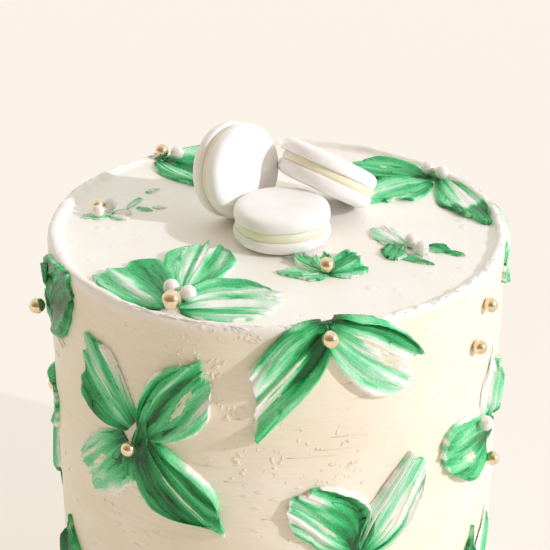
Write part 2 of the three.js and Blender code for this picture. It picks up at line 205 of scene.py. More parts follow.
def weighted_sum(tree, *parts):
    """Adds values together, each (socket, weight) times its weight."""
    terms = [math_node(tree, "MULTIPLY", socket, weight) for socket, weight in parts]
    total = terms[0]
    for term in terms[1:]:
        total = math_node(tree, "ADD", total, term)
    return total


def mixed(tree, share, first, second):
    """Mixes two colours: the first where share is 0, the second where it is 1."""
    node = add_node(tree, "ShaderNodeMix", data_type="RGBA", clamp_factor=True)
    for name, socket in (("Factor", share), ("A", first), ("B", second)):
        tree.links.new(socket, node.inputs[name])
    return node.outputs["Result"]


def bumped(tree, height, strength, distance):
    """Turns a height into the normal of a surface that rises and falls by it."""
    node = add_node(tree, "ShaderNodeBump", Strength=strength, Distance=distance)
    tree.links.new(height, node.inputs["Height"])
    return node.outputs[0]


def stretched(tree, place, kind, scale, **sockets):
    """A texture with its own scale along each axis; returns its output sockets."""
    mapping = add_node(tree, "ShaderNodeMapping")
    mapping.inputs["Scale"].default_value = scale
    tree.links.new(place, mapping.inputs["Vector"])
    texture = add_node(tree, kind, Scale=1.0, **sockets)
    tree.links.new(mapping.outputs[0], texture.inputs["Vector"])
    return texture.outputs


def new_material(name):
    """An empty Principled material; returns the material, its tree and its shader."""
    material = bpy.data.materials.new(name)
    material.use_nodes = True
    tree = material.node_tree
    return material, tree, tree.nodes["Principled BSDF"]


print("a mid grey for a shader", srgb(128, 128, 128))

# %% [markdown]
# ## Icing material
#
# Buttercream is off-white with a soft sheen. A spatula dragged round the cake leaves
# long level scratches, torn flakes where it caught, and tiny air holes. All of them
# are too fine to model, so they are bumps. Light and shade are painted into the colour:
# the top is painted whiter, as painted light, and the wall warmer and darker, as painted shade.

# %% Icing material
# Painted light: above this height the icing's colour turns whiter, as painted light on the top.
LIT_TOP_STARTS = (CAKE_HEIGHT - 4.5) * MM
LIT_TOP_SLOPE = 350.0


def make_icing():
    """Off-white icing with scratches, torn flakes and holes."""
    material, tree, shader = new_material("icing")
    link = tree.links.new
    place = add_node(tree, "ShaderNodeTexCoord").outputs["Object"]
    noise, cells = "ShaderNodeTexNoise", "ShaderNodeTexVoronoi"

    drag = stretched(tree, place, noise, (28, 28, 620), Detail=3.0, Roughness=0.5, Distortion=0.3)
    scratches = ramped(tree, drag["Fac"], [(0.40, BLACK), (0.62, WHITE)])
    patches = stretched(tree, place, noise, (24, 24, 36), Detail=2.0)["Fac"]
    where_torn = ramped(tree, patches, [(0.50, BLACK), (0.60, WHITE)])

    chips = stretched(tree, place, cells, (150, 150, 420), Randomness=1.0)
    dome = ramped(tree, chips["Distance"], [(0.10, WHITE), (0.42, BLACK)])
    picked = ramped(tree, chips["Color"], [(0.62, BLACK), (0.66, WHITE)])
    flakes = math_node(tree, "MULTIPLY", math_node(tree, "MULTIPLY", dome, picked), where_torn)

    holes = stretched(tree, place, cells, (110, 110, 150), Randomness=1.0)
    pits = ramped(tree, holes["Distance"], [(0.0, WHITE), (0.11, BLACK)])
    soft = stretched(tree, place, noise, (60, 60, 90), Detail=3.0)["Fac"]
    height = weighted_sum(tree, (scratches, 0.10), (flakes, 0.45), (soft, 0.55), (pits, -0.35))
    link(bumped(tree, height, 0.7, 0.0011), shader.inputs["Normal"])

    # Painted light and shade: the wall's tint is darker and warmer as painted shade, the top's whiter as
    # painted light.
    wall_tint_with_shade = ramped(tree, patches, [(0.3, srgb(242, 234, 213)), (0.75, srgb(247, 240, 223))])
    top_tint_with_light = ramped(tree, patches, [(0.3, srgb(247, 244, 237)), (0.75, srgb(250, 249, 246))])
    split = add_node(tree, "ShaderNodeSeparateXYZ")
    link(place, split.inputs[0])
    above = math_node(tree, "SUBTRACT", split.outputs["Z"], LIT_TOP_STARTS)
    lit_top_share = math_node(tree, "MULTIPLY", above, LIT_TOP_SLOPE)
    link(mixed(tree, lit_top_share, wall_tint_with_shade, top_tint_with_light), shader.inputs["Base Color"])
    shader.inputs["Roughness"].default_value = 0.45
    shader.inputs["Specular IOR Level"].default_value = 0.35
    shader.inputs["Subsurface Weight"].default_value = 0.12
    shader.inputs["Subsurface Radius"].default_value = (0.004, 0.0032, 0.0022)
    shader.inputs["Subsurface Scale"].default_value = 1.0
    return material


ICING = make_icing()
print("icing nodes", len(ICING.node_tree.nodes))

# %% [markdown]
# ## Cream material for the petals
#
# A palette knife picks up several greens and white at once and drags them out in long
# streaks. Each petal carries two painted values: `tone`, from dark green through mint
# to white, and `cream`, where the plain icing shows through. The streaks follow the
# petal's own UV map, whose U runs along the stroke and V across it.

# %% Cream material
GREENS = [
    (0.00, srgb(2, 88, 38)),
    (0.16, srgb(12, 146, 74)),
    (0.34, srgb(52, 194, 116)),
    (0.52, srgb(114, 220, 156)),
    (0.70, srgb(186, 236, 204)),
    (0.88, srgb(249, 250, 244)),
]
SMEAR = [(0.40, srgb(196, 222, 184)), (0.50, srgb(238, 230, 204)), (0.62, srgb(246, 240, 222))]
MOSTLY_WHITE = (0.88, 0.88, 0.88, 1)


def make_cream():
    """Green and white cream, streaked along the stroke of the knife."""
    material, tree, shader = new_material("cream")
    link = tree.links.new
    stroke_map = add_node(tree, "ShaderNodeUVMap", uv_map="stroke").outputs[0]
    tone = add_node(tree, "ShaderNodeAttribute", attribute_name="tone").outputs["Fac"]
    bare = add_node(tree, "ShaderNodeAttribute", attribute_name="cream").outputs["Fac"]

    def streaks(along, across, detail, twist):
        """Noise drawn out along the stroke, from -0.5 to 0.5; scales are per centimetre."""
        noise = stretched(tree, stroke_map, "ShaderNodeTexNoise", (along, across, 1),
                          Detail=detail, Roughness=0.6, Distortion=twist)
        return math_node(tree, "SUBTRACT", noise["Fac"], 0.5)

    broad = streaks(0.45, 3.0, 2.0, 0.3)
    fine = streaks(0.9, 12.0, 3.0, 0.25)
    grain = streaks(9.0, 22.0, 3.0, 0.6)

    # A knife leaves thin creases, here where a drawn-out noise passes its middle value. They are dented by
    # the bump and darkened in the tone, and that darkening is painted shade.
    near_middle = math_node(tree, "ABSOLUTE", streaks(0.14, 3.0, 0.0, 0.0))
    crease = ramped(tree, near_middle, [(0.0, WHITE), (0.014, BLACK)])
    places = math_node(tree, "ADD", streaks(0.9, 1.3, 1.0, 0.0), 0.5)
    some_places = ramped(tree, places, [(0.44, BLACK), (0.54, WHITE)])
    shaded_creases = math_node(tree, "MULTIPLY", crease, some_places)
    # The creases lower the tone here: painted shade in them.
    value = weighted_sum(tree, (tone, 1.0), (broad, 0.66), (fine, 0.36), (grain, 0.20), (shaded_creases, -0.30))
    green = ramped(tree, value, GREENS, "LINEAR")

    # The icing shows through in ragged patches, smeared with a little of the green.
    shown = weighted_sum(tree, (bare, 1.0), (streaks(2.0, 8.0, 5.0, 0.6), 1.5))
    patches = ramped(tree, shown, [(0.48, BLACK), (0.62, MOSTLY_WHITE)])
    smear = ramped(tree, math_node(tree, "ADD", fine, 0.5), SMEAR)
    link(mixed(tree, patches, green, smear), shader.inputs["Base Color"])

    height = weighted_sum(tree, (broad, 0.4), (fine, 0.8), (grain, 0.5), (shaded_creases, -0.35))
    link(bumped(tree, height, 0.6, 0.0008), shader.inputs["Normal"])
    sheen_stops = [(0.3, (0.2, 0.2, 0.2, 1)), (0.7, (0.44, 0.44, 0.44, 1))]
    sheen = ramped(tree, math_node(tree, "ADD", grain, 0.5), sheen_stops)
    link(sheen, shader.inputs["Roughness"])
    shader.inputs["Specular IOR Level"].default_value = 0.5
    return material


CREAM = make_cream()
print("cream nodes", len(CREAM.node_tree.nodes))

# %% [markdown]
# ## Mottle, for macarons and pearls
#
# Sugar and almond flour never dry to one even colour. Four materials share this, so it
# is a node group, built once: a colour that drifts between a light and a dark one, and
# a fine grain that each material turns into a bump of its own depth.

# %% The mottle group
MOTTLE_NUMBERS = ("Cloud Scale", "Grain Scale", "Detail", "Grain Roughness")


def make_mottle():
    """The node group: puts out a clouded colour and a grain value."""
    group = bpy.data.node_groups.new("mottle", "ShaderNodeTree")
    for name in ("Light", "Dark"):
        group.interface.new_socket(name, in_out="INPUT", socket_type="NodeSocketColor")
    for name in MOTTLE_NUMBERS:
        group.interface.new_socket(name, in_out="INPUT", socket_type="NodeSocketFloat")
    group.interface.new_socket("Color", in_out="OUTPUT", socket_type="NodeSocketColor")
    group.interface.new_socket("Grain", in_out="OUTPUT", socket_type="NodeSocketFloat")
    given = group.nodes.new("NodeGroupInput").outputs
    result = group.nodes.new("NodeGroupOutput").inputs
    place = add_node(group, "ShaderNodeTexCoord").outputs["Object"]

    def noise(scale, **more):
        node = add_node(group, "ShaderNodeTexNoise")
        sources = {"Vector": place, "Scale": given[scale], "Detail": given["Detail"], **more}
        for socket, source in sources.items():
            group.links.new(source, node.inputs[socket])
        return node.outputs["Fac"]

    cloud = ramped(group, noise("Cloud Scale"), [(0.35, BLACK), (0.65, WHITE)])
    group.links.new(mixed(group, cloud, given["Dark"], given["Light"]), result["Color"])
    grain = noise("Grain Scale", Roughness=given["Grain Roughness"])
    group.links.new(grain, result["Grain"])
    return group


MOTTLE = make_mottle()


def mottled_material(name, light, dark, numbers, bump_strength, bump_depth):
    """A material that is coloured and roughened by the mottle group."""
    material, tree, shader = new_material(name)
    mottle = add_node(tree, "ShaderNodeGroup", node_tree=MOTTLE)
    values = {"Light": light, "Dark": dark, **dict(zip(MOTTLE_NUMBERS, numbers))}
    for socket, value in values.items():
        mottle.inputs[socket].default_value = value
    tree.links.new(mottle.outputs["Color"], shader.inputs["Base Color"])
    normal = bumped(tree, mottle.outputs["Grain"], bump_strength, bump_depth)
    tree.links.new(normal, shader.inputs["Normal"])
    return material, shader


print("mottle nodes", len(MOTTLE.nodes))

# %% [markdown]
# ## Macaron and pearl materials
#
# Macaron shells are dry and nearly white, with a faint grain. The filling is a smooth
# pale yellow cream. Light goes a little way into both, so they have some subsurface.
# Sugar pearls have a lustre coat, so they shine like metal but softly.

# %% Macaron and pearl materials
def make_plain(name, light, dark, grain, roughness, bump_depth):
    """A dry, faintly mottled material."""
    numbers = (grain * 0.12, grain, 3.0, 0.6)
    material, shader = mottled_material(name, light, dark, numbers, 0.5, bump_depth)
    shader.inputs["Roughness"].default_value = roughness
    shader.inputs["Specular IOR Level"].default_value = 0.3
    shader.inputs["Subsurface Weight"].default_value = 0.2
    shader.inputs["Subsurface Radius"].default_value = (0.008, 0.0055, 0.003)
    shader.inputs["Subsurface Scale"].default_value = 1.0
    return material


def make_pearl(name, light, dark, metal):
    """A lustre coat over sugar, a little uneven."""
    numbers = (420.0, 420.0, 2.0, 0.5)
    material, shader = mottled_material(name, light, dark, numbers, 0.25, 0.0002)
    shader.inputs["Metallic"].default_value = metal
    shader.inputs["Roughness"].default_value = 0.2
    shader.inputs["Coat Weight"].default_value = 0.4
    shader.inputs["Coat Roughness"].default_value = 0.12
    return material


SHELL = make_plain("macaron_shell", srgb(254, 253, 252), srgb(250, 249, 247), 900.0, 0.55, 0.00012)
FILLING = make_plain("macaron_filling", srgb(255, 252, 230), srgb(252, 246, 214), 300.0, 0.5, 0.0004)
GOLD_PEARL = make_pearl("pearl_gold", srgb(246, 228, 196), srgb(232, 206, 166), 0.92)
WHITE_PEARL = make_pearl("pearl_white", srgb(246, 244, 240), srgb(232, 228, 222), 0.1)
print("materials", len(bpy.data.materials))

# %% [markdown]
# ## The iced cake
#
# A spatula and a turntable make a cake's sides, so its body is turned too: half an
# outline is spun round the middle. The points are then nudged in and out, the way a
# hand-held spatula never keeps quite still.

# %% The iced cake
CAKE_STEPS = 300
MERGE_DISTANCE = 0.02 * MM
LIP_WAVES = [(2, 0.45, 0.4), (5, 0.30, 2.1), (9, 0.20, 4.0)]  # turns, height, phase


def spin_outline(name, outline, steps):
    """Spins half an outline, given as (radius, height) in millimetres, into a solid."""
    corners = [(r * MM, 0, z * MM) for r, z in outline]
    mesh = bpy.data.meshes.new(name)
    mesh.from_pydata(corners, [(i, i + 1) for i in range(len(corners) - 1)], [])
    obj = bpy.data.objects.new(name, mesh)
    bpy.context.collection.objects.link(obj)
    select_only(obj)
    bpy.ops.object.mode_set(mode="EDIT")
    bpy.ops.mesh.select_all(action="SELECT")
    bpy.ops.mesh.spin(steps=steps, angle=2 * math.pi, center=(0, 0, 0), axis=(0, 0, 1))
    bpy.ops.mesh.select_all(action="SELECT")
    bpy.ops.mesh.remove_doubles(threshold=MERGE_DISTANCE)
    bpy.ops.mesh.normals_make_consistent(inside=False)
    bpy.ops.object.mode_set(mode="OBJECT")
    bpy.ops.object.shade_smooth()
    return obj


def lip_wave(angle):
    """How far the ridge of icing rises or dips at this angle, in millimetres."""
    return sum(size * np.sin(turns * angle + phase) for turns, size, phase in LIP_WAVES)


def cake_outline():
    """Half the cake's outline, from the middle of the base to the middle of the top."""
    outline = [(0, 0), (40, 0), (80, 0), (97, 0), (98.6, 0.3), (99.6, 1.2)]
    outline += [(100, z) for z in np.linspace(2.4, 184, 84)]
    outline += [(100, 185.4), (100, 186.8), (99.95, 188.0), (99.7, 188.9), (99.3, 189.6), (98.7, 189.95)]
    outline += [(98.0, 190.05), (97.3, 189.9), (96.7, 189.5), (96.2, 188.95), (95.7, 188.45), (95.1, 188.1)]
    flat_rings = (94, 92.5, 91, 89, 87, 84, 81, 78, 74, 70, 65, 60, 54, 48, 41, 34, 26, 18, 10, 0)
    return outline + [(r, TOP_LEVEL) for r in flat_rings]


def make_cake():
    """Spins the cake and gives its wall, its lip and its top their unevenness."""
    cake = spin_outline("iced_cake", cake_outline(), CAKE_STEPS)
    points = read_points(cake) / MM
    angle = np.arctan2(points[:, 1], points[:, 0])
    radius = np.hypot(points[:, 0], points[:, 1])
    round_way = angle / (2 * math.pi) * NOISE_PERIOD
    height = points[:, 2]

    # The wall: broad waves from the spatula, and finer ones on them. The first ones cover
    # half a period, so their ends differ by up to 0.45 mm where they meet, at the left.
    on_wall = smooth_step(94, 99.5, radius) * smooth_step(1.0, 12.0, height)
    level = soft_noise(round_way * 0.5, height * 0.10, 3) * 0.30
    level += soft_noise(round_way, height * 0.30, 4) * 0.16
    level += soft_noise(round_way * 3, height * 0.55, 5) * 0.07
    pushed = np.clip(radius + level * on_wall, 0, None)
    scale = np.where(radius > 0.01, pushed / np.maximum(radius, 0.01), 1)
    points[:, 0] *= scale
    points[:, 1] *= scale

    # The lip: it rises and dips, most of all at the left, and its inner side wanders.
    ridge = smooth_step(188.1, 189.6, height) * smooth_step(93.5, 96.5, radius)
    points[:, 2] += ridge * (lip_wave(angle) + 0.45 * soft_noise(round_way * 2, 0 * angle, 8))
    left_side = np.exp(-((np.abs(angle) - 3.0) / 0.35) ** 2)
    points[:, 2] += ridge * left_side * 0.8
    inner = smooth_step(187.9, 188.05, height) * smooth_step(89, 94, radius)
    inner = inner * (1 - smooth_step(98.2, 99.2, radius))
    pull = left_side * 1.6 + 0.4 * soft_noise(round_way * 3, 0 * angle + 3, 14)
    points[:, :2] *= (1 - inner * pull / 100)[:, None]

    # The flat of the top: shallow hollows.
    flat = smooth_step(187.5, 188.0, height) * (1 - ridge)
    points[:, 2] += flat * 0.22 * soft_noise(points[:, 0] * 0.06 + 9, points[:, 1] * 0.09 + 9, 9)
    write_points(cake, points * MM)
    cake.data.materials.append(ICING)
    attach(cake, "root")
    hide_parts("cake")
    return cake


iced_cake = make_cake()
print("cake", len(iced_cake.data.polygons), "faces")

# %% [markdown]
# ## The sizes of one petal
#
# A petal is one stroke of the knife. It starts narrow at the heart, widens, and breaks
# off raggedly. A few sizes say how: which way it turns and how long it is, how wide on
# each side, and in `shape` the share of its length where it is widest, how blunt it
# ends, how far its end slants and rounds, and how much it bends. `start` is where it
# starts and `body` how thick it is. `ridges` lists the folds across it as (place, width,
# height, lean), with the place from -1 at the right edge to 1 at the left edge. `paint`
# lists the tone across it, in one row or in several rows along it.
#
# The rest can be left out. `ragged` is how torn its end is, `cut` how long each part
# across it is, `fray` how uneven its sides are and `root` how wide it starts. `bare`
# lists spots where the icing shows, as (along, across, long, wide), `end_tone` repaints
# the end, `rise_end` says how high the folds are at the end and `lighter` shifts the tone.

# %% The sizes of one petal
# Dark tones that the paint rows lay in the grooves between folds are partly painted shade.
def petal(turn, long, left, right, shape, start, body, ridges, paint, **extra):
    """The sizes of one petal, kept together under their names."""
    widest, end, skew, tip, bend = shape
    sizes = dict(turn=turn, long=long, left=left, right=right, widest=widest, end=end)
    sizes.update(skew=skew, tip=tip, bend=bend, start=start, body=body, ridges=ridges, paint=paint)
    sizes.update(ragged=0.05, cut=((-1, 0.95), (0, 1), (1, 0.95)), bare=(), end_tone=None, rise_end=0.6)
    sizes.update(fray=0.6, root=0.24, lighter=0.0)
    sizes.update(extra)
    return sizes


HEART_TONES = [(-1, .3), (-.5, .08), (0, .25), (.4, .02), (.7, .35), (1, .15)]
HEART = petal(0, 11.5, 5.0, 5.0, (0.5, 0.6, 0, 0.25, 0), (-5.8, 0), 1.1, [(-.5, .25, .4), (.4, .2, .5)],
              HEART_TONES, ragged=0.10, fray=1.2, root=0.6)
print("a petal has", len(HEART), "sizes")

# %% [markdown]
# ## The plan and the height of a petal
#
# A flat grid is made first, and its points are moved. In the grid, s runs from 0 at the
# heart to 1 at the end and t from -1 to 1 across. The knife has fixed places along its
# edge, here called lanes: every fold and streak stays in its lane, and where the petal
# narrows, its outline cuts the lanes off.

# %% The plan and the height of a petal
def half_width(p, s):
    """The share of a petal's full half width at each place along it."""
    rise = p["root"] + (1 - p["root"]) * np.sin(math.pi / 2 * np.clip(s / p["widest"], 0, 1)) ** 0.8
    past = np.clip((s - p["widest"]) / (1 - p["widest"]), 0, 1)
    fall = p["end"] + (1 - p["end"]) * np.maximum(np.cos(math.pi / 2 * past), 0) ** 0.8
    return np.where(s < p["widest"], rise, fall)


def knife_lane(p, s, t, seed):
    """Which lane of the knife each point lies in, from -1 to 1."""
    fan = np.where(s < p["widest"], half_width(p, s), 1 - 0.25 * (s - p["widest"]))
    lane = t * half_width(p, s) / fan
    lane = lane + (t - lane) * smooth_step(0.72, 0.97, np.abs(t))
    wander = 0.035 * soft_noise(s * 2.5 + 4, lane * 2 + 8, seed + 3)
    wander = wander + 0.01 * soft_noise(s * 7, lane * 6 + 8, seed + 4)
    return lane + wander


def petal_plan(p, s, t, seed, shift=0.0):
    """Where the point (s along, t across) of a petal lies in the flat map."""
    side_seed = np.where(t > 0, 5.0, 15.0)
    edge = 0.05 * soft_noise(s * 7 + 3, side_seed, seed) + 0.03 * soft_noise(s * 22, side_seed, seed + 9)
    half = half_width(p, s) * (1 + p["fray"] * edge * smooth_step(0.05, 0.3, s))
    side = np.where(t > 0, p["left"], p["right"])
    still = 0 * t
    teeth = 0.9 * soft_noise(t * 2.4 + 7, still, seed + 1) + 0.4 * soft_noise(t * 8 + 7, still, seed + 2)
    teeth = p["ragged"] * (teeth + 0.2 * soft_noise(t * 24 + 7, still, seed + 2))
    cut = np.interp(t, *zip(*p["cut"])) - 1
    change = p["skew"] * t - p["tip"] * t * t + (teeth + cut) * smooth_step(0.45, 1.0, s)
    along = s * (p["long"] * (1 + change))
    across = t * (side * half + 0.8) + p["bend"] * s * s + shift
    return rotate(along, across, p["turn"])


def petal_rise(p, s, t, lane, seed):
    """How high the cream stands at each point, and how far its folds lean over sideways."""
    rise = p["body"] * (0.45 + 0.55 * s)
    swell = smooth_step(0.0, 0.22, s) * (1 - (1 - p["rise_end"]) * smooth_step(0.78, 1.0, s))
    lean = 0 * s
    for place, width, height, *over in p["ridges"]:
        fold = swell * np.exp(-(((lane - place) / width) ** 2))
        rise = rise + height * fold
        if over:
            lean = lean + over[0] * fold
    # Furrows and finer lines along the stroke, and the chatter of the knife across it.
    furrows = 1 - 2 * np.abs(soft_noise(lane * 6 + 20, s * 1.2, seed + 6))
    rise = rise + 0.20 * furrows * swell
    rise = rise + 0.15 * soft_noise(lane * 15 + 20, s * 2.2, seed + 7) * swell
    rise = rise + 0.10 * soft_noise(lane * 32, s * 4.5, seed + 8)
    rise = rise + 0.07 * soft_noise(lane * 12, s * 26, seed + 10)
    rounded = 1 - 0.30 * smooth_step(0.9, 1.0, np.abs(t)) ** 2
    return np.maximum(rise, 0.45) * rounded, lean


def to_space(where, u, v, rise):
    """Takes flat map places and a height above the icing to points in space."""
    if where == "top":
        inward = np.minimum(TOP_REACH / np.maximum(np.hypot(u, v), 1), 1)
        return np.stack([u * inward, v * inward, TOP_LEVEL + rise], -1)
    v = np.maximum(v, FLOOR_GAP - CAKE_HEIGHT)
    angle = u / CAKE_RADIUS
    radius = CAKE_RADIUS + rise
    return np.stack([radius * np.sin(angle), -radius * np.cos(angle), CAKE_HEIGHT + v], -1)


print("front of the rim, in mm", to_space("wall", 0.0, 0.0, 0.0))

# %% [markdown]
# ## The paint on a petal
#
# The greens are stored on the points, not in a picture, so a petal of any shape can be
# painted. The tone is read across the lanes, then changed a little by noise. The edges
# are paler, where the cream is thin. The root of each petal at the heart is darker:
# partly dark cream, partly painted shade in the hollow of the heart.

# %% The paint on a petal
def tone_across(paint, s, lane):
    """Reads the tone from one row of stops, or from several rows {s: stops} along the petal."""
    rows = sorted(paint) if isinstance(paint, dict) else [0.5]
    stops = [paint[row] for row in rows] if isinstance(paint, dict) else [paint]
    tones = np.stack([np.interp(lane, *zip(*row)) for row in stops])
    if len(rows) == 1:
        return tones[0]
    position = np.interp(s, rows, range(len(rows)))
    low = np.clip(np.floor(position).astype(int), 0, len(rows) - 2)
    share = position - low
    point = np.arange(len(s))
    return tones[low, point] * (1 - share) + tones[low + 1, point] * share


def petal_tone(p, s, t, lane, seed):
    """The tone of each point, from 0 for dark green to 1 for white."""
    tone = tone_across(p["paint"], s, lane) + p["lighter"] * smooth_step(0.1, 0.4, s)
    tone = tone + 0.10 * soft_noise(lane * 4 + 4, s * 1.6, seed + 11)
    tone = tone + 0.06 * soft_noise(lane * 14 + 4, s * 3, seed + 12)
    if p["end_tone"]:
        starts, value = p["end_tone"]
        uneven_s = s + 0.05 * soft_noise(t * 4, s * 3, seed)
        tone = tone + (value - tone) * smooth_step(starts, min(starts + 0.1, 1.0), uneven_s)
    side_patches = np.clip(soft_noise(s * 5, np.sign(t) * 7 + 9, seed + 13) + 0.3, 0, 1)
    end_patches = np.clip(soft_noise(t * 4, 0 * t, seed + 14) + 0.2, 0, 1)
    rim = smooth_step(0.92, 1.0, np.abs(t)) * side_patches
    rim = np.maximum(rim, smooth_step(0.95, 1.0, s) * end_patches)
    # The root is darkened here, partly as painted shade in the hollow of the heart.
    return tone + 0.38 * rim - 0.30 * (1 - smooth_step(0.0, 0.2, s))


def petal_bare(p, s, lane, seed):
    """How far the plain icing shows through at each point."""
    bare = 0.14 + 0.16 * soft_noise(lane * 3 + 11, s * 1.5, seed + 15)
    for along, across, long, wide in p["bare"]:
        spot = np.exp(-((s - along) / (1.5 * long)) ** 2 - ((lane - across) / (1.4 * wide)) ** 2)
        bare = np.maximum(bare, 0.80 * spot)
    return bare


def paint_petal(obj, p, s, t, lane, seed):
    """Stores the two painted values and the stroke map on a petal."""
    tone, bare = petal_tone(p, s, t, lane, seed), petal_bare(p, s, lane, seed)
    for key, values in (("tone", tone), ("cream", bare)):
        attribute = obj.data.attributes.new(key, "FLOAT", "POINT")
        attribute.data.foreach_set("value", values.astype(np.float32))
    layer = obj.data.uv_layers[0]
    layer.name = "stroke"
    loops = np.zeros(len(obj.data.loops), int)
    obj.data.loops.foreach_get("vertex_index", loops)
    own = (seed * 0.37) % 7
    width = (p["left"] + p["right"]) / 2
    pairs = np.stack([s[loops] * p["long"] / 10 + own, lane[loops] * width / 10 + own], -1)
    layer.data.foreach_set("uv", pairs.ravel())


print("tone half way across", tone_across([(-1, 0.0), (1, 1.0)], np.array([0.5]), np.array([0.0])))

# %% [markdown]
# ## Petals and flowers
#
# The grid has a few more rows on every side than the petal needs. They are a skirt: it
# falls from the petal's edge down into the icing, so the cream has a thick rounded side
# and no gap shows under it. `SKIRT_DROP` and `SKIRT_OUT` say how far each row of it has
# fallen and how far out it stands. A flower is a few petals and a small heart, joined.

# %% Petals and flowers
ROWS, COLUMNS, SKIRT = 72, 76, 4
HEART_ROWS, HEART_COLUMNS = 24, 28
SKIRT_DROP = (0.0, 0.18, 0.55, 0.86, 1.0)
SKIRT_OUT = (0.0, 0.16, 0.14, -0.20, -0.55)
SINK, RIM_SINK = 0.7, 3.0
RIM_ZONE = -3.5  # above this the edge of the icing curves away, so petals sink deeper


def close_petal(obj):
    """Closes the open underside of a petal and turns its faces outward."""
    select_only(obj)
    bpy.ops.object.mode_set(mode="EDIT")
    bpy.ops.mesh.select_all(action="DESELECT")
    bpy.ops.mesh.select_mode(type="EDGE")
    bpy.ops.mesh.select_non_manifold()
    bpy.ops.mesh.edge_face_add()
    bpy.ops.mesh.quads_convert_to_tris()
    bpy.ops.mesh.select_all(action="SELECT")
    bpy.ops.mesh.normals_make_consistent(inside=False)
    bpy.ops.object.mode_set(mode="OBJECT")
    bpy.ops.object.shade_smooth()


def make_petal(name, where, at, p, seed, rows=ROWS, columns=COLUMNS):
    """Makes one petal from a grid: its top, its sides and the part sunk in the icing."""
    all_rows, all_columns = rows + 2 * SKIRT, columns + 2 * SKIRT
    bpy.ops.object.select_all(action="DESELECT")
    bpy.ops.mesh.primitive_grid_add(x_subdivisions=all_rows, y_subdivisions=all_columns, size=2)
    obj = bpy.context.object
    obj.name = name
    flat = read_points(obj)
    i = (flat[:, 0] + 1) / 2 * all_rows - SKIRT
    j = (flat[:, 1] + 1) / 2 * all_columns - SKIRT
    s = np.clip(i / rows, 0, 1)
    t = np.clip(j / columns, 0, 1) * 2 - 1
    past_s = np.maximum(i - rows, 0) - np.maximum(-i, 0)
    past_t = np.maximum(j - columns, 0) - np.maximum(-j, 0)
    steps = np.maximum(np.abs(past_s), np.abs(past_t))
    drop = np.interp(steps, range(SKIRT + 1), SKIRT_DROP)
    out = np.interp(steps, range(SKIRT + 1), SKIRT_OUT)
    lane = knife_lane(p, s, t, seed)
    top, lean = petal_rise(p, s, t, lane, seed)
    u, v = petal_plan(p, s, t, seed, lean * (1 - drop))
    out_u, out_v = rotate(out * np.sign(past_s), out * np.sign(past_t), p["turn"])
    u = u + at[0] + p["start"][0] + out_u
    v = v + at[1] + p["start"][1] + out_v
    sink = np.where(v > RIM_ZONE, RIM_SINK, SINK) if where == "wall" else SINK
    rise = np.where(steps >= SKIRT, -sink, top * (1 - drop))
    write_points(obj, to_space(where, u, v, rise) * MM)
    paint_petal(obj, p, s, t, lane, seed)
    close_petal(obj)
    return obj


def make_flower(node, where, at, petals, seed, heart=HEART):
    """Joins the petals of one flower and puts it in place of its CAD node."""
    made = [make_petal(f"{node}_petal", where, at, p, seed + 20 * k) for k, p in enumerate(petals)]
    if not node.endswith("dab"):
        made.append(make_petal(f"{node}_heart", where, at, heart, seed + 17, HEART_ROWS, HEART_COLUMNS))
    flower = join_pieces(made, f"cream_{node}")
    flower.data.name = flower.name
    flower.data.materials.append(CREAM)
    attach(flower, "root")
    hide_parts(node)
    print(flower.name, len(flower.data.polygons), "faces")
    return flower


print("a petal's grid has", ROWS, "rows and", COLUMNS, "columns")

# %% [markdown]
# ## The left front flower
#
# Four strokes round one gold pearl. The upper left one is a fan with three ragged
# fingers, the upper right one is broad and dark, the lower left one is scalloped and
# the lower right one is a long leaf with a thick bright upper edge.

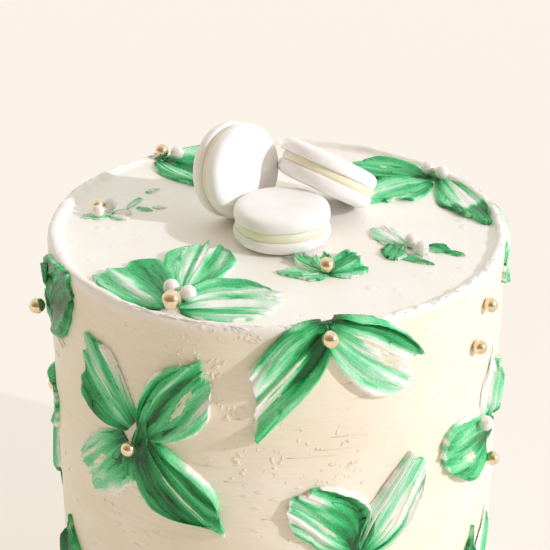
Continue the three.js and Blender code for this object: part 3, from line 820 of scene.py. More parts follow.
# %% The left front flower
FOUR_STROKES = [
    petal(139, 42, 18.7, 13.5, (0.76, 0.84, -0.06, 0.14, -3.7), (-1.2, 7.2), 1.7,
          [(-0.85, 0.12, 1.5), (-0.2, 0.15, 0.9), (0.35, 0.2, -0.5), (0.85, 0.15, 1.6)],
          {0.2: [(-1, .7), (-.85, .6), (-.7, .3), (-.2, .45), (.1, .45), (.35, .7), (.6, .4), (1, .35)],
           0.5: [(-1, .82), (-.9, .7), (-.8, .25), (-.4, .3), (-.25, .7), (-.05, .75), (.12, .4), (.3, .5),
                 (.42, .2), (.75, .15), (1, .35)],
           0.9: [(-1, .95), (-.82, .8), (-.7, .25), (-.5, .3), (-.35, .75), (-.15, .45), (.1, .25), (.3, .6),
                 (.5, .2), (.8, .25), (1, .7)]},
          cut=[(-1, .80), (-.75, .90), (-.62, .86), (-.42, .98), (-.28, .93), (-.1, .84), (.12, .89),
               (.3, .92),
               (.45, .86), (.6, .80), (.8, .86), (1, .80)],
               ragged=0.03, lighter=0.06, bare=[(.5, -.1, .2, .09)]),
    petal(57, 46, 11.8, 15.7, (0.55, 0.46, 0.1, 0, -4.8), (4.4, 4.7), 1.7,
          [(.93, .09, 2.4, -.8), (.62, .10, .9), (.45, .08, .7), (.15, .14, -.9), (-.1, .2, .4),
           (-.5, .1, -.7), (-.78, .2, 2.0)],
          {0.25: [(-1, .4), (-.8, .5), (-.5, .25), (-.2, .4), (.1, .12), (.4, .3), (.55, .5), (.7, .2),
                  (1, .45)],
           0.6: [(-1, .55), (-.85, .45), (-.65, .62), (-.5, .25), (-.35, .42), (-.15, .45), (.02, .3),
                 (.15, .08), (.33, .15), (.45, .6), (.55, .25), (.75, .22), (.88, .5), (1, .65)],
           0.95: [(-1, .9), (-.8, .8), (-.6, .95), (-.4, .5), (-.1, .35), (.15, .2), (.4, .45), (.7, .3),
                  (1, .55)]},
          cut=[(-1, .88), (-.8, .96), (-.6, 1.02), (-.35, 1), (-.2, .94), (.1, .97), (.3, .95),
               (.5, 1.0), (.7, .97),
               (1, .86)], ragged=0.04, bare=[(.5, -.28, .16, .08), (.72, -.16, .14, .08),
                                             (.95, -.6, .05, .08)]),
    petal(223, 37, 18.5, 8, (0.59, 0.7, 0.05, 0, -1), (-5, 0), 1.6,
          [(-.7, .14, 1.0), (-.35, .14, 1.1), (0, .14, 1.2), (.35, .14, 1.2), (.7, .14, 1.0)],
          {0.3: [(-1, .5), (-.6, .42), (-.3, .5), (0, .3), (.3, .15), (.6, .1), (1, .3)],
           0.7: [(-1, .6), (-.8, .5), (-.5, .48), (-.3, .62), (-.12, .4), (.1, .35), (.2, .6), (.35, .4),
                 (.5, .45), (.7, .4), (.88, .7), (1, .75)]},
          cut=[(-1, .9), (-.85, 1), (-.65, .96), (-.5, 1.04), (-.3, .97), (-.1, 1.03), (.1, .95), (.3, .98),
               (.45, .9), (.6, 1.0), (.8, .96), (1, .85)], ragged=0.02, fray=1.6, lighter=0.14,
          bare=[(.6, .12, .15, .1), (.7, -.25, .1, .08)]),
    petal(-59, 49, 13.7, 17.5, (0.54, 0.11, -0.05, 0.09, 12), (4.9, 1.3), 1.6,
          [(.86, .14, 3.8, .5), (.6, .12, -.9), (.36, .06, .8), (.05, .1, .8), (-.22, .08, -.6),
           (-.85, .15, 1.0)],
          {0.25: [(-1, .25), (-.6, .08), (-.2, .06), (0, .3), (.2, .2), (.5, .3), (.7, .45), (1, .42)],
           0.55: [(-1, .4), (-.85, .2), (-.5, .14), (-.27, .03), (-.12, .34), (.0, .5), (.12, .32),
                  (.28, .35),
                  (.36, .62), (.44, .25), (.58, .12), (.7, .05), (.8, .42), (1, .5)],
           0.9: [(-1, .5), (-.7, .15), (-.3, .12), (-.1, .5), (.2, .25), (.4, .45), (.6, .15), (.8, .4),
                 (1, .62)]},
          ragged=0.03, bare=[(.55, .02, .22, .06)]),
]
TALL_HEART = petal(74, 21, 3.0, 3.4, (0.45, 0.5, 0, 0.25, 0), (0, -8), 0.9, [(-.5, .25, .4), (.4, .2, .4)],
                   HEART_TONES, ragged=0.08, fray=1.2, root=0.6)
make_flower("wall_left_flower", "wall", (-62, -62), FOUR_STROKES, 100, TALL_HEART)

# %% [markdown]
# ## The front rim flower
#
# Two broad strokes fold over the rim. The left one has a smooth swollen lobe, the right
# one a thick bumpy roll along its top with a hollow under it. The dark in the hollows
# of both is painted shade.

# %% The front rim flower
RIM_PAIR = [
    # Painted shade: tones below 0, from 0.35 to 0.55 across, darken the hollow of the fold at 0.42.
    petal(228, 43.5, 12.6, 11.3, (0.43, 0.95, 0.28, -0.08, 1.3), (-2.0, 4.8), 1.7,
          [(-.94, .06, 1.6), (-.62, .3, 3.4), (-.1, .1, -.7), (.06, .07, .8), (.22, .08, .7),
           (.42, .12, -1.6),
           (.82, .14, 2.4)],
          {0.25: [(-1, .25), (-.6, .45), (-.25, .38), (0, .0), (.2, .0), (.35, -.2), (.55, -.2),
                  (.7, .25), (1, .3)],
           0.5: [(-1, .2), (-.9, .42), (-.55, .48), (-.3, .5), (-.12, .3), (.0, .35), (.08, .62), (.2, .6),
                 (.28, .25), (.4, -.1), (.55, .0), (.7, .4), (.85, .45), (1, .3)],
           0.75: [(-1, .35), (-.8, .5), (-.5, .55), (-.2, .6), (-.08, .32), (.0, .7), (.1, .7), (.17, .12),
                  (.25, .7), (.38, .75), (.46, .15), (.55, .6), (.7, .75), (.85, .62), (1, .3)],
           1.0: [(-1, .98), (-.6, .95), (-.3, .8), (-.1, .45), (.1, .9), (.4, .9), (.55, .6), (.8, .45),
                 (1, .2)]},
          cut=[(-1, 1.0), (-.85, 1.0), (-.45, .955), (0, .99), (.2, 1.02), (.8, 1.0), (1, .95)],
          ragged=0.03, fray=0.3,
          lighter=0.05, bare=[(.6, .1, .25, .07), (.8, .35, .15, .1)], rise_end=1.6),
    # Painted shade: the tone below 0 at 0.8 across darkens the groove under the roll at the top.
    petal(-32, 43.5, 10.7, 18, (0.64, 0.56, -0.03, -0.03, -2.2), (-0.5, 5.6), 2.2,
          [(.93, .07, 3.4, -.4), (.79, .05, -1.0), (.6, .12, .9), (.4, .1, -1.0), (.1, .2, .5),
           (-.36, .05, -.6), (-.55, .2, 1.0),
           (-.9, .12, 2.2)],
          {0.2: [(-1, .6), (-.8, .55), (-.4, .62), (0, .55), (.2, .35), (.4, .2), (.6, .12), (.76, .2),
                 (.80, -.2), (.84, .28), (1, .35)],
           0.5: [(-1, .98), (-.9, .7), (-.75, .6), (-.55, .62), (-.42, .66), (-.3, .6), (0, .78), (.25, .8),
                 (.36, .42), (.5, .2), (.62, .12), (.76, .2), (.80, -.2), (.84, .3), (.93, .32), (1, .4)],
           0.85: [(-1, .98), (-.85, .75), (-.6, .66), (-.45, .92), (-.38, .6), (-.3, .85), (.1, .9),
                  (.3, .85), (.45, .5),
                  (.6, .3), (.76, .45), (.80, -.1), (.84, .4), (1, .35)]},
          cut=[(-1, .98), (-.75, 1.0), (-.5, .97), (-.3, 1.0), (-.1, .93), (.1, .97), (.3, .93),
               (.45, .98), (.6, .93),
               (.8, .99), (.92, .99), (1, .92)], ragged=0.03, fray=0.5, lighter=0.05,
          bare=[(.5, .1, .22, .13), (.75, -.1, .18, .2)]),
]
LOW_HEART = petal(-80, 9, 3.6, 3.2, (0.4, 0.5, 0, 0.3, 0), (-2.2, 6.4), 1.1, [(0, .5, .4)], HEART_TONES,
                  ragged=0.05, fray=0.5, root=0.7)
make_flower("rim_front_flower", "wall", (22, -5), RIM_PAIR, 200, LOW_HEART)

# %% [markdown]
# ## The low front flower
#
# Its upper left stroke is folded over at the top, its upper right one is a long leaf
# with a forked end. Two more strokes lie below them.

# %% The low front flower
DARK_HEART = petal(78, 18, 6, 5, (0.45, 0.6, 0, 0.25, 0), (-3, -8), 1.6, [(-.5, .25, .5), (.4, .2, .6)],
                [(-1, .2), (-.5, .0), (0, .1), (.4, -.1), (.7, .2), (1, .1)],
                ragged=0.08, fray=1.2, root=0.6)
LOW_FOUR = [
    # Painted shade: the dark band just inside the white edge, from -0.88 to -0.7 across, darkens the groove
    # under the folded top.
    petal(129, 38.8, 8.7, 18.3, (0.41, 0.81, -0.13, 0.19, 5), (-6, -5.2), 2.1,
          [(-.95, .05, 2.8, -.3), (-.8, .06, -.9), (-.5, .14, 1.4), (-.2, .12, .9), (.2, .14, .8),
           (.48, .14, 1.8),
           (.9, .1, 1.0)],
          {0.25: [(-1, .9), (-.85, .6), (-.7, .1), (-.4, .2), (-.1, .12), (.2, .4), (.5, .7), (.8, .5),
                  (1, .4)],
           0.55: [(-1, 1.0), (-.93, .95), (-.88, .2), (-.8, .1), (-.65, .3), (-.45, .22), (-.3, .35),
                  (-.15, .45), (0, .5),
                  (.12, .62), (.25, .45), (.35, .62), (.42, .98), (.56, .94), (.66, .55), (.85, .6),
                  (1, .3)],
           0.85: [(-1, .98), (-.93, .85), (-.88, .3), (-.62, .35), (-.52, .9), (-.35, .92), (-.25, .3),
                  (-.1, .55),
                  (.1, .6), (.3, .62), (.4, .98), (.55, .95), (.65, .4), (.85, .5), (1, .3)]},
          cut=[(-1, .9), (-.7, .93), (-.5, .85), (-.3, .9), (-.1, .97), (.1, .94), (.25, .96), (.4, .99),
               (.55, .97),
               (.8, .97), (1, .9)], ragged=0.03, lighter=0.07, bare=[(.45, .12, .18, .1)]),
    petal(56, 45.5, 8.9, 13.5, (0.38, 0.71, 0.03, 0.05, 0.7), (-0.8, -8), 2.1,
          [(.93, .08, 1.6), (.72, .06, -.7), (.58, .09, 1.2), (.42, .05, -.6), (0, .3, .7), (-.5, .2, .8),
           (-.68, .05, -1.1), (-.9, .1, 1.2)],
          {0.3: [(-1, .6), (-.85, .85), (-.7, .1), (-.6, .5), (-.3, .75), (0, .6), (.35, .6), (.45, .2),
                 (.6, .75), (.8, .6), (1, .3)],
           0.6: [(-1, .55), (-.85, .88), (-.74, .8), (-.67, .08), (-.58, .5), (-.4, .72), (-.15, .8),
                 (.1, .58),
                 (.38, .68), (.46, .2), (.54, .85), (.68, .9), (.76, .2), (.88, .55), (1, .3)],
           0.95: [(-1, .6), (-.6, .65), (-.3, .6), (-.1, .45), (.1, .62), (.3, .6), (.45, .35), (.6, .95),
                  (.75, .4), (.9, .6), (1, .5)]},
          cut=[(-1, .8), (-.8, .95), (-.5, 1.0), (-.2, 1.02), (.05, .98), (.2, .95), (.4, .96),
               (.55, 1.02), (.75, 1.06),
               (.9, 1.04), (1, .96)], ragged=0.02, lighter=0.15, bare=[(.5, -.3, .25, .1),
                                                                       (.35, -.1, .15, .06)]),
    petal(-60, 42, 12, 13, (0.6, 0.5, 0, 0.12, -2), (1, -11), 1.8,
          [(.85, .12, 2.6), (.3, .2, -.5), (-.2, .15, .8), (-.85, .14, 2.2)],
          [(-1, .5), (-.7, .15), (-.3, .4), (-.1, .8), (.1, .3), (.5, .55), (.8, .75), (1, .5)],
          ragged=0.08),
    petal(222, 42, 13, 13, (0.6, 0.4, 0, 0.12, 3), (-5, -10), 1.8,
          [(.85, .12, 2.2), (.3, .2, -.5), (-.2, .15, .8), (-.85, .14, 2.8)],
          [(-1, .6), (-.7, .65), (-.3, .2), (-.1, .5), (.1, .85), (.4, .25), (.8, .1), (1, .4)],
          ragged=0.07),
]
make_flower("wall_low_front_flower", "wall", (38, -100), LOW_FOUR, 300, DARK_HEART)

# %% [markdown]
# ## The right flower
#
# A round scalloped stroke faces the front. A white one and a mint one rise behind it.

# %% The right flower
SCALLOP_FLOWER = [
    petal(190, 36.4, 15, 19.8, (0.6, 0.57, -0.07, 0.06, -9.3), (-6, 0), 2.4,
          [(-.9, .1, 1.6), (-.55, .12, .7), (-.25, .1, .9), (.05, .12, -.5), (.35, .12, .8),
           (.85, .14, 2.0)],
          {0.25: [(-1, .6), (-.7, .4), (-.3, .12), (0, .2), (.4, .35), (.8, .4), (1, .5)],
           0.6: [(-1, .5), (-.94, .42), (-.86, .32), (-.6, .4), (-.45, .55), (-.3, .3), (-.15, .5),
                 (0, .6), (.15, .5),
                 (.35, .35), (.6, .4), (.85, .38), (1, .6)],
           0.95: [(-1, .45), (-.8, .3), (-.5, .2), (-.35, .5), (-.2, .2), (0, .3), (.2, .5), (.4, .2),
                  (.7, .35),
                  (1, .4)]},
          cut=[(-1, .96), (-.8, 1), (-.6, .99), (-.4, 1.02), (-.2, .99), (0, 1.02), (.2, .99),
               (.4, 1.02), (.6, .99),
               (.8, 1), (1, .94)], ragged=0.012, lighter=0.05, bare=[(.5, .12, .1, .16)], rise_end=1.4),
    petal(80, 32, 6, 8, (0.55, 0.3, 0, 0.2, -2), (-10, 9), 0.9,
          [(.8, .15, .7), (-.8, .15, 1.2)], [(-1, .98), (-.3, .95), (.2, 1.0), (.7, .95), (1, 1.0)]),
    petal(68, 27, 7, 9, (0.55, 0.2, 0, 0.2, 2), (-2, 6), 2.2,
          [(.7, .2, 2.4), (-.8, .15, 2.4)], [(-1, .5), (-.4, .62), (.2, .55), (.7, .72), (1, .6)]),
    petal(16, 34, 8, 9, (0.6, 0.3, 0, 0.12, 0), (10, 3), 1.4,
          [(.85, .12, 1.4), (0, .3, -.5), (-.85, .14, 1.6)],
          [(-1, .4), (-.6, .2), (-.2, .45), (.1, .7), (.4, .3), (.8, .6), (1, .5)]),
]
make_flower("wall_right_flower", "wall", (121, -82), SCALLOP_FLOWER, 400)

# %% [markdown]
# ## The low right and low left flowers
#
# Tall pointed strokes stand at the low right and low left, near the edges of the view.

# %% The low right and low left flowers
TALL_PAIR = [
    petal(76, 40, 9, 9, (0.5, 0.1, 0, 0.15, 1), (-13, 0), 1.8,
          [(.75, .15, 1.2), (-.75, .15, 1.6)], [(-1, .62), (-.7, .6), (-.5, .3), (0, .2), (.5, .12),
                                                (1, .3)]),
    petal(76, 44, 10, 10, (0.5, 0.2, 0, 0.15, -2), (0, 0), 1.0,
          [(.75, .15, .2), (-.75, .15, 1.4)],
          [(-1, .55), (-.6, .62), (-.3, .58), (-.15, .95), (.4, 1.0), (1, 1.0)],
          cut=[(-1, 1.05), (-.2, 1.0), (.2, .95), (.6, .85), (1, .7)]),
]
make_flower("wall_low_right_flower", "wall", (108, -166), TALL_PAIR, 500)

LOW_LEFT = [
    petal(97, 48, 14, 14, (0.45, 0.05, 0, 0.12, 0), (0, 0), 2.0,
          [(.8, .14, 3.0), (0, .3, -.6), (-.8, .14, 2.0)],
          [(-1, .45), (-.6, .3), (-.2, .5), (.1, .2), (.5, .08), (1, .2)]),
]
make_flower("wall_low_left_flower", "wall", (-112, -174), LOW_LEFT, 560)

# %% [markdown]
# ## The left rim flower
#
# Dark strokes hang over the rim at the left. Their folds are high, and their sides
# fray. The heart is small and stands well out.

# %% The left rim flower
RIM_LEFT = [
    petal(78, 22, 9, 8, (0.5, 0.15, 0, 0.3, 0), (4, 6), 2.0,
          [(.8, .16, 2.0), (.1, .3, -.8), (-.8, .16, 1.6)],
          [(-1, .3), (-.6, .1), (0, -.05), (.5, .05), (.8, .3), (1, .4)], ragged=0.05),
    petal(38, 48, 15, 19, (0.45, 0.55, -0.04, 0.12, 0), (-1, 1), 1.8,
          [(.88, .09, 1.6), (.45, .1, .6), (.2, .12, -.6), (-.1, .12, .7), (-.45, .12, -.5),
           (-.85, .12, 2.0)],
          {0.3: [(-1, .3), (-.7, .1), (-.3, .05), (0, .15), (.3, .05), (.6, .1), (.9, .2), (1, .4)],
           0.6: [(-1, .4), (-.8, .35), (-.5, .1), (-.2, .12), (.05, .2), (.2, .42), (.3, .1), (.7, .1),
                 (.9, .2), (1, .4)],
           0.95: [(-1, .3), (-.4, .2), (0, .2), (.4, .35), (.8, .2),
                  (1, .4)]}, ragged=0.04, root=0.5, fray=1.0,
          lighter=-0.08),
    petal(205, 42, 13, 13, (0.6, 0.5, 0, 0.12, 0), (-8, 2), 1.8,
          [(.8, .14, 1.6), (-.8, .14, 1.6)], [(-1, .4), (0, .2), (.4, .6), (1, .4)]),
]
SIDE_HEART = petal(70, 15, 6, 6, (0.5, 0.7, 0, 0.25, 0), (-2, -6), 2.2, [(0, .5, .8)],
                   HEART_TONES, ragged=0.02,
                   fray=0.3, root=0.7)
make_flower("rim_left_flower", "wall", (-139, -31), RIM_LEFT, 600, SIDE_HEART)

# %% [markdown]
# ## The flowers round the sides
#
# One flower sits on the wall at the far left and one over the rim at the far right.
# Only the tips of their strokes show from the front.

# %% The flowers round the sides
FAR_LEFT = [
    petal(24, 45, 14, 14, (0.6, 0.5, 0, 0.12, 0), (0, 0), 2.0,
          [(.8, .14, 2.2), (-.8, .14, 1.8)], [(-1, .5), (-.4, .3), (0, .6), (.4, .25), (1, .4)]),
    petal(150, 42, 13, 13, (0.6, 0.5, 0, 0.12, 0), (0, 0), 2.0,
          [(.8, .14, 2.6), (0, .3, -.5), (-.8, .14, 2.2)], [(-1, .7), (-.5, .3), (0, .15), (.5, .6),
                                                            (1, .4)]),
    petal(-80, 44, 14, 14, (0.6, 0.4, 0, 0.12, 0), (0, -3), 2.0,
          [(.8, .14, 2.6), (0, .3, -.5), (-.8, .14, 2.2)], [(-1, .4), (-.5, .75), (0, .3), (.5, .12),
                                                            (1, .5)]),
]
make_flower("wall_far_left_flower", "wall", (-171, -92), FAR_LEFT, 640)

RIM_RIGHT = [
    petal(6, 62, 7, 7, (0.4, 0.5, 0, 0.1, 0), (-43, -1), 2.4, [(.8, .2, .8), (-.8, .2, .8)],
          {0.1: [(-1, .3), (1, .4)], 0.25: [(-1, .8), (1, .85)], 0.4: [(-1, .6), (0, .5), (1, .7)],
           0.55: [(-1, .45), (0, .3), (1, .5)]}, root=0.5, rise_end=1.0),
    petal(225, 7, 4, 4, (0.5, 0.3, 0, 0.15, 0), (-41, 0), 1.8,
          [(.8, .2, 1.8), (0, .3, .6), (-.8, .2, 1.8)], [(-1, .6), (-.5, .6), (0, .5), (.5, .35), (1, .5)]),
    petal(-58, 42, 14, 13, (0.6, 0.45, 0, 0.12, 0), (4, -3), 1.6,
          [(.8, .14, 1.2), (0, .3, -.5), (-.8, .14, 1.4)],
          [(-1, .6), (-.5, .8), (0, .4), (.5, .2), (1, .5)], ragged=0.06),
]
make_flower("rim_right_flower", "wall", (178, -12), RIM_RIGHT, 680)

# %% [markdown]
# ## The front flower on the top
#
# It is the largest: a dark stroke, a striped one and a long pale one.

# %% The front flower on the top
TOP_FRONT = [
    petal(138, 40.4, 7.5, 25, (0.73, 0.7, -0.03, 0, -4.7), (-5.9, -8), 1.5,
          [(-.85, .15, 2.4), (-.45, .2, -.7), (-.12, .1, 1.4), (.3, .2, -.3), (.85, .12, .8)],
          {0.3: [(-1, .3), (-.6, .15), (-.3, .3), (-.1, .7), (.2, .6), (.5, .4), (1, .2)],
           0.6: [(-1, .3), (-.8, .15), (-.5, .12), (-.35, .22), (-.22, .68), (-.05, .7), (.1, .45),
                 (.5, .42),
                 (.85, .3), (1, .08)],
           0.95: [(-1, .4), (-.6, .2), (-.35, .35), (-.2, .62), (0, .4), (.4, .45), (.7, .75), (1, .3)]},
          cut=[(-1, .86), (-.8, .95), (-.55, .9), (-.4, .95), (-.25, 1.0), (-.1, .95), (.1, 1.0),
               (.35, 1.0), (.6, 1.03),
               (1, .92)], ragged=0.03, lighter=0.07),
    petal(78, 45, 14.4, 14.6, (0.69, 0.5, 0, 0.02, 0.7), (2.4, 8), 1.5,
          [(-.88, .12, 1.0), (-.45, .2, -.6), (-.12, .07, 1.2), (.05, .08, .9), (.2, .06, -.5), (.6, .2, .6),
           (.92, .1, 1.2)],
          {0.3: [(-1, .3), (-.6, .3), (-.3, .5), (-.1, .85), (.1, .4), (.2, .35), (.3, .8), (.6, .55),
                 (1, .4)],
           0.6: [(-1, .3), (-.7, .4), (-.5, .45), (-.32, .28), (-.16, .42), (-.08, .85), (.02, .9),
                 (.1, .38),
                 (.2, .28), (.28, .8), (.36, .6), (.6, .55), (.85, .48), (1, .3)],
           0.95: [(-1, .4), (-.75, .3), (-.6, .85), (-.48, .5), (-.3, .35), (-.12, .85), (0, .6), (.12, .3),
                  (.3, .7), (.6, .55), (1, .45)]},
          cut=[(-1, .88), (-.75, .98), (-.55, 1.0), (-.42, .9), (-.25, .84), (-.1, .9), (.05, 1.05),
               (.2, .95),
               (.4, .93), (.7, .95), (1, .86)], ragged=0.02, lighter=0.08),
    petal(9, 39.5, 22.9, 11.1, (0.47, 0.67, 0.16, 0.1, -6.1), (1.5, -8), 1.5,
          [(.92, .08, 1.4), (.6, .15, -.3), (.46, .06, .6), (.38, .05, -.5), (.1, .07, .8), (-.05, .05, -.5),
           (-.35, .15, .6), (-.85, .12, .8)],
          {0.3: [(-1, .5), (-.7, .6), (-.4, .45), (-.1, .85), (.1, .9), (.25, .5), (.45, .7), (.7, .45),
                 (1, .5)],
           0.6: [(-1, .5), (-.85, .75), (-.7, .5), (-.45, .42), (-.22, .5), (-.08, .78), (.08, .95),
                 (.17, .75),
                 (.27, .5), (.38, .32), (.43, .85), (.53, .93), (.64, .6), (.8, .5), (1, .4)],
           0.95: [(-1, .6), (-.8, .9), (-.6, .5), (-.4, .9), (-.2, .55), (0, .9), (.2, .6), (.35, .9),
                  (.5, .65),
                  (.65, .92), (.8, .55), (1, .35)]},
          cut=[(-1, .9), (-.8, 1.0), (-.65, .92), (-.4, 1.0), (-.2, .9), (0, .93), (.15, 1.0), (.3, .93),
               (.4, 1.03),
               (.55, .92), (.7, .98), (.85, .9), (1, .84)], ragged=0.04, lighter=0.06, rise_end=0.4),
]
make_flower("top_front_flower", "top", (-40, -72), TOP_FRONT, 720)

# %% [markdown]
# ## The back flowers on the top
#
# Two flowers lie by the back rim, partly behind the macarons. The right one has a long
# stroke whose end is dark and thick.

# %% The back flowers on the top
TOP_BACK_LEFT = [
    petal(-48, 44, 15, 10, (0.45, 0.5, 0, 0.15, 0), (-1.5, -1), 1.6,
          [(-.8, .15, 1.6), (.2, .3, -.9), (.85, .15, 2.4)],
          [(-1, .3), (-.85, .4), (-.7, .85), (-.5, .4), (-.35, .8), (-.15, .5), (.0, .55), (.12, .1),
           (.4, .05),
           (.6, .3), (.8, .55), (1, .4)]),
    petal(22, 30, 7, 7, (0.5, 0.6, 0, 0.15, 0), (3, 3), 1.6,
          [(.7, .2, 1.6), (-.7, .2, 1.2)], [(-1, .9), (-.3, .65), (.3, .6), (1, .85)]),
]
make_flower("top_back_left_flower", "top", (-54, 76), TOP_BACK_LEFT, 760, LOW_HEART)

TOP_BACK_RIGHT = [
    petal(158, 36, 10.3, 11.5, (0.68, 0.34, 0, 0.1, 0.6), (-4.1, 0), 1.7,
          [(-.8, .2, 1.8), (0, .4, .5), (.8, .15, .8)],
          [(-1, .35), (-.6, .36), (-.2, .45), (.1, .42), (.4, .35), (.7, .15), (.9, .4), (1, .3)],
          bare=[(.55, -.05, .05, .1)], ragged=0.03),
    petal(217, 38, 12, 14, (0.58, 0.5, 0, 0.12, 2), (-2.5, -5.5), 1.5,
          [(-.85, .14, .6), (-.5, .12, .9), (-.15, .1, .7), (.25, .12, .8), (.85, .14, .8)],
          {0.3: [(-1, .2), (-.7, .5), (-.4, .6), (-.1, .7), (.2, .35), (.6, .4), (1, .1)],
           0.7: [(-1, .3), (-.8, .5), (-.62, .78), (-.42, .5), (-.2, .92), (-.08, .5), (.08, .45),
                 (.25, .55),
                 (.45, .3), (.7, .85), (.85, .5), (1, .3)]},
          cut=[(-1, .95), (-.5, 1.0), (0, .97), (.3, 1.0), (.5, .8), (.75, .85), (1, .7)], ragged=0.04,
          bare=[(.85, .55, .1, .12)]),
    petal(-73, 54, 7, 12.3, (0.7, 0.56, 0, 0.2, -0.9), (5.3, -2.9), 1.2,
          [(.8, .15, 1.2), (.1, .2, .5), (-.5, .12, .8), (-.88, .1, .7)],
          {0.3: [(-1, .3), (-.8, .15), (-.6, .55), (-.4, .6), (-.25, .4), (-.1, .7), (.2, .9), (.6, .6),
                 (1, .5)],
           0.58: [(-1, .3), (-.75, .4), (-.6, .65), (-.45, .5), (-.3, .88), (.3, .95), (.5, .7),
                  (.8, .85), (1, .8)]},
          cut=[(-1, .85), (-.8, .95), (-.5, .9), (-.3, 1.0), (0, .97), (.5, 1.0), (1, .93)],
          end_tone=(0.6, 0.16), ragged=0.04, rise_end=2.2),
]
make_flower("top_back_right_flower", "top", (73, 56), TOP_BACK_RIGHT, 800)

# %% [markdown]
# ## Dabs of cream
#
# Where the knife was wiped, short dabs of mixed green are left round a pearl or two.

# %% Dabs of cream
def dab(turn, long, left, right, end, start, body, tones, **extra):
    """A short rough dab: a small petal with plain ridges."""
    step = 2 / (len(tones) - 1)
    paint = [(-1 + k * step, tone) for k, tone in enumerate(tones)]
    ridges = [(-.6, .25, 0.4 * body), (.1, .2, 0.3 * body), (.7, .2, 0.4 * body)]
    return petal(turn, long, left, right, (0.6, end, 0, 0.15, 0), start, body, ridges, paint,
                 **{"ragged": 0.14, "fray": 2.2, "lighter": 0.08, **extra})


make_flower("top_front_dab", "top", (21, -47), [
    dab(176, 19, 4.5, 5, .6, (0, -1), 1.0, (.5, .65, .3, .55)),
    dab(132, 18, 4.5, 5, .7, (-1, 0), 1.6, (.6, .45, .6, .75), rise_end=2.4),
    dab(104, 13, 2.6, 5, .8, (-1, 1), 1.8, (.25, .6, .5), rise_end=2.8),
    dab(52, 19, 6, 7, .6, (1, 0), 1.6, (.35, .5, .1, .2, .55), rise_end=2.2),
    dab(14, 17, 5, 5, .6, (1, -1), 1.1, (.55, .25, .45)),
    dab(205, 11, 4, 4, .6, (0, 0), 0.9, (.5, .6, .3)),
], 840)
make_flower("top_right_dab", "top", (56, -20), [
    dab(122, 25, 7, 5, .8, (0, -2), 0.9, (.95, .7, .85, .5, .7)),
    dab(252, 17, 6, 5, .5, (-3, 2), 1.1, (.15, .2, .3, .6), rise_end=1.6),
    dab(-62, 14, 5, 4, .6, (-1, 0), 1.0, (.95, .8, .95)),
    dab(-30, 18, 1.1, 1.2, .2, (-6, -10), 0.7, (.35, .3, .4), ragged=0.05),
    dab(-34, 10, 3.6, 3, .4, (9, -1), 1.3, (.4, .12, .3)),
    dab(-30, 9, 1.2, 1.2, .3, (16, -6), 0.6, (.3, .35, .3), ragged=0.05),
], 880)
make_flower("top_left_dab", "top", (-75, 13), [
    dab(20, 9, 3, 3, .5, (2, -1), 0.6, (1, .95, .5)), dab(190, 11, 2.4, 2.4, .5, (0, -2), 0.5, (.8, .6, .5)),
    dab(-28, 9, 2.4, 2.4, .5, (1, -1), 0.6, (.4, .8, .9)),
    dab(246, 12, 0.9, 1.1, .4, (13.2, 17.5), 0.4, (.5, .65, .6)),
    dab(-28, 7, 0.9, 0.8, .4, (12.5, 7), 0.4, (.55, .5, .65)),
    dab(40, 7, 1.1, 1.1, .5, (15.5, 24), 0.4, (.72, .78, .7)),
    dab(-4, 5, .8, .8, .5, (19.5, 7.4), 0.4, (.7, .8, .7)),
], 920)

# %% [markdown]
# ## The back of the cake
#
# The side that turns away carries the same kinds of flower, four of them turned as a whole.

# %% The back of the cake
def turned(petals, degrees):
    """The same petals with the whole flower turned."""
    return [dict(p, turn=p["turn"] + degrees, start=rotate(*p["start"], degrees)) for p in petals]


make_flower("back_flower_one", "wall", (258, -58), turned(FOUR_STROKES[:3], -20), 1000)
make_flower("back_flower_two", "wall", (-232, -14), RIM_PAIR, 1100, LOW_HEART)
make_flower("back_flower_three", "wall", (-258, -126), turned(FOUR_STROKES, 150), 1200)
make_flower("back_flower_four", "wall", (288, -146), turned(SCALLOP_FLOWER, 20), 1300)
make_flower("back_flower_five", "wall", (200, -142), turned(LOW_FOUR[:3], -8), 1400)

# %% [markdown]
# ## Marks in the icing
#
# Where the spatula lifted, it tore small chips loose and left thin ridges behind. Each
# mark starts as a ball that is squashed, roughened and laid on the wall. `MARKS` gives
# for each patch: u from and to, v from and to, how many, half length, half width,
# height, turn and how much the turn varies. The marks that are left lie along the rim.

# %% Marks in the icing
MARKS = [
    ((-36, 16), (-8, -1), 60, (0.6, 2.0), (0.45, 1.1), (0.06, 0.18), 10, 60),
    ((-42, -20), (-36, -3), 56, (0.6, 1.8), (0.40, 0.9), (0.06, 0.18), 70, 60),
    ((-24, 8), (-62, -30), 40, (0.5, 1.5), (0.3, 0.7), (0.05, 0.14), -62, 50),
    ((-22, 30), (-92, -32), 80, (0.4, 1.0), (0.35, 0.8), (0.05, 0.15), -40, 90),
    ((22, 38), (-76, -48), 26, (0.5, 1.4), (0.40, 0.8), (0.06, 0.15), 60, 90),
    ((-60, 45), (-110, -8), 24, (6.0, 16.0), (0.16, 0.30), (0.04, 0.08), -1, 2),
    ((-105, -40), (-180, -8), 50, (0.4, 1.2), (0.35, 0.8), (0.06, 0.16), -20, 90),
    ((-30, 60), (-185, -92), 60, (0.4, 1.3), (0.35, 0.9), (0.06, 0.16), -20, 90),
    ((45, 150), (-120, -6), 12, (0.3, 0.7), (0.25, 0.4), (0.06, 0.12), 0, 90),
    ((150, 520), (-180, -6), 260, (0.5, 1.8), (0.40, 1.0), (0.06, 0.18), 30, 90),
    ((150, 520), (-180, -6), 76, (5.0, 15.0), (0.16, 0.3), (0.04, 0.10), -3, 4),
]
DOUBLINGS = 10
MARK_COUNT = 2 ** DOUBLINGS
RIM_CHIPS = MARK_COUNT - sum(row[2] for row in MARKS)
FRONT_CHIPS = 110
FRONT_SPAN, BACK_SPAN = (-115, 125), (125, 513)
MARKS_SEED, LUMPS_SEED = 77, 41


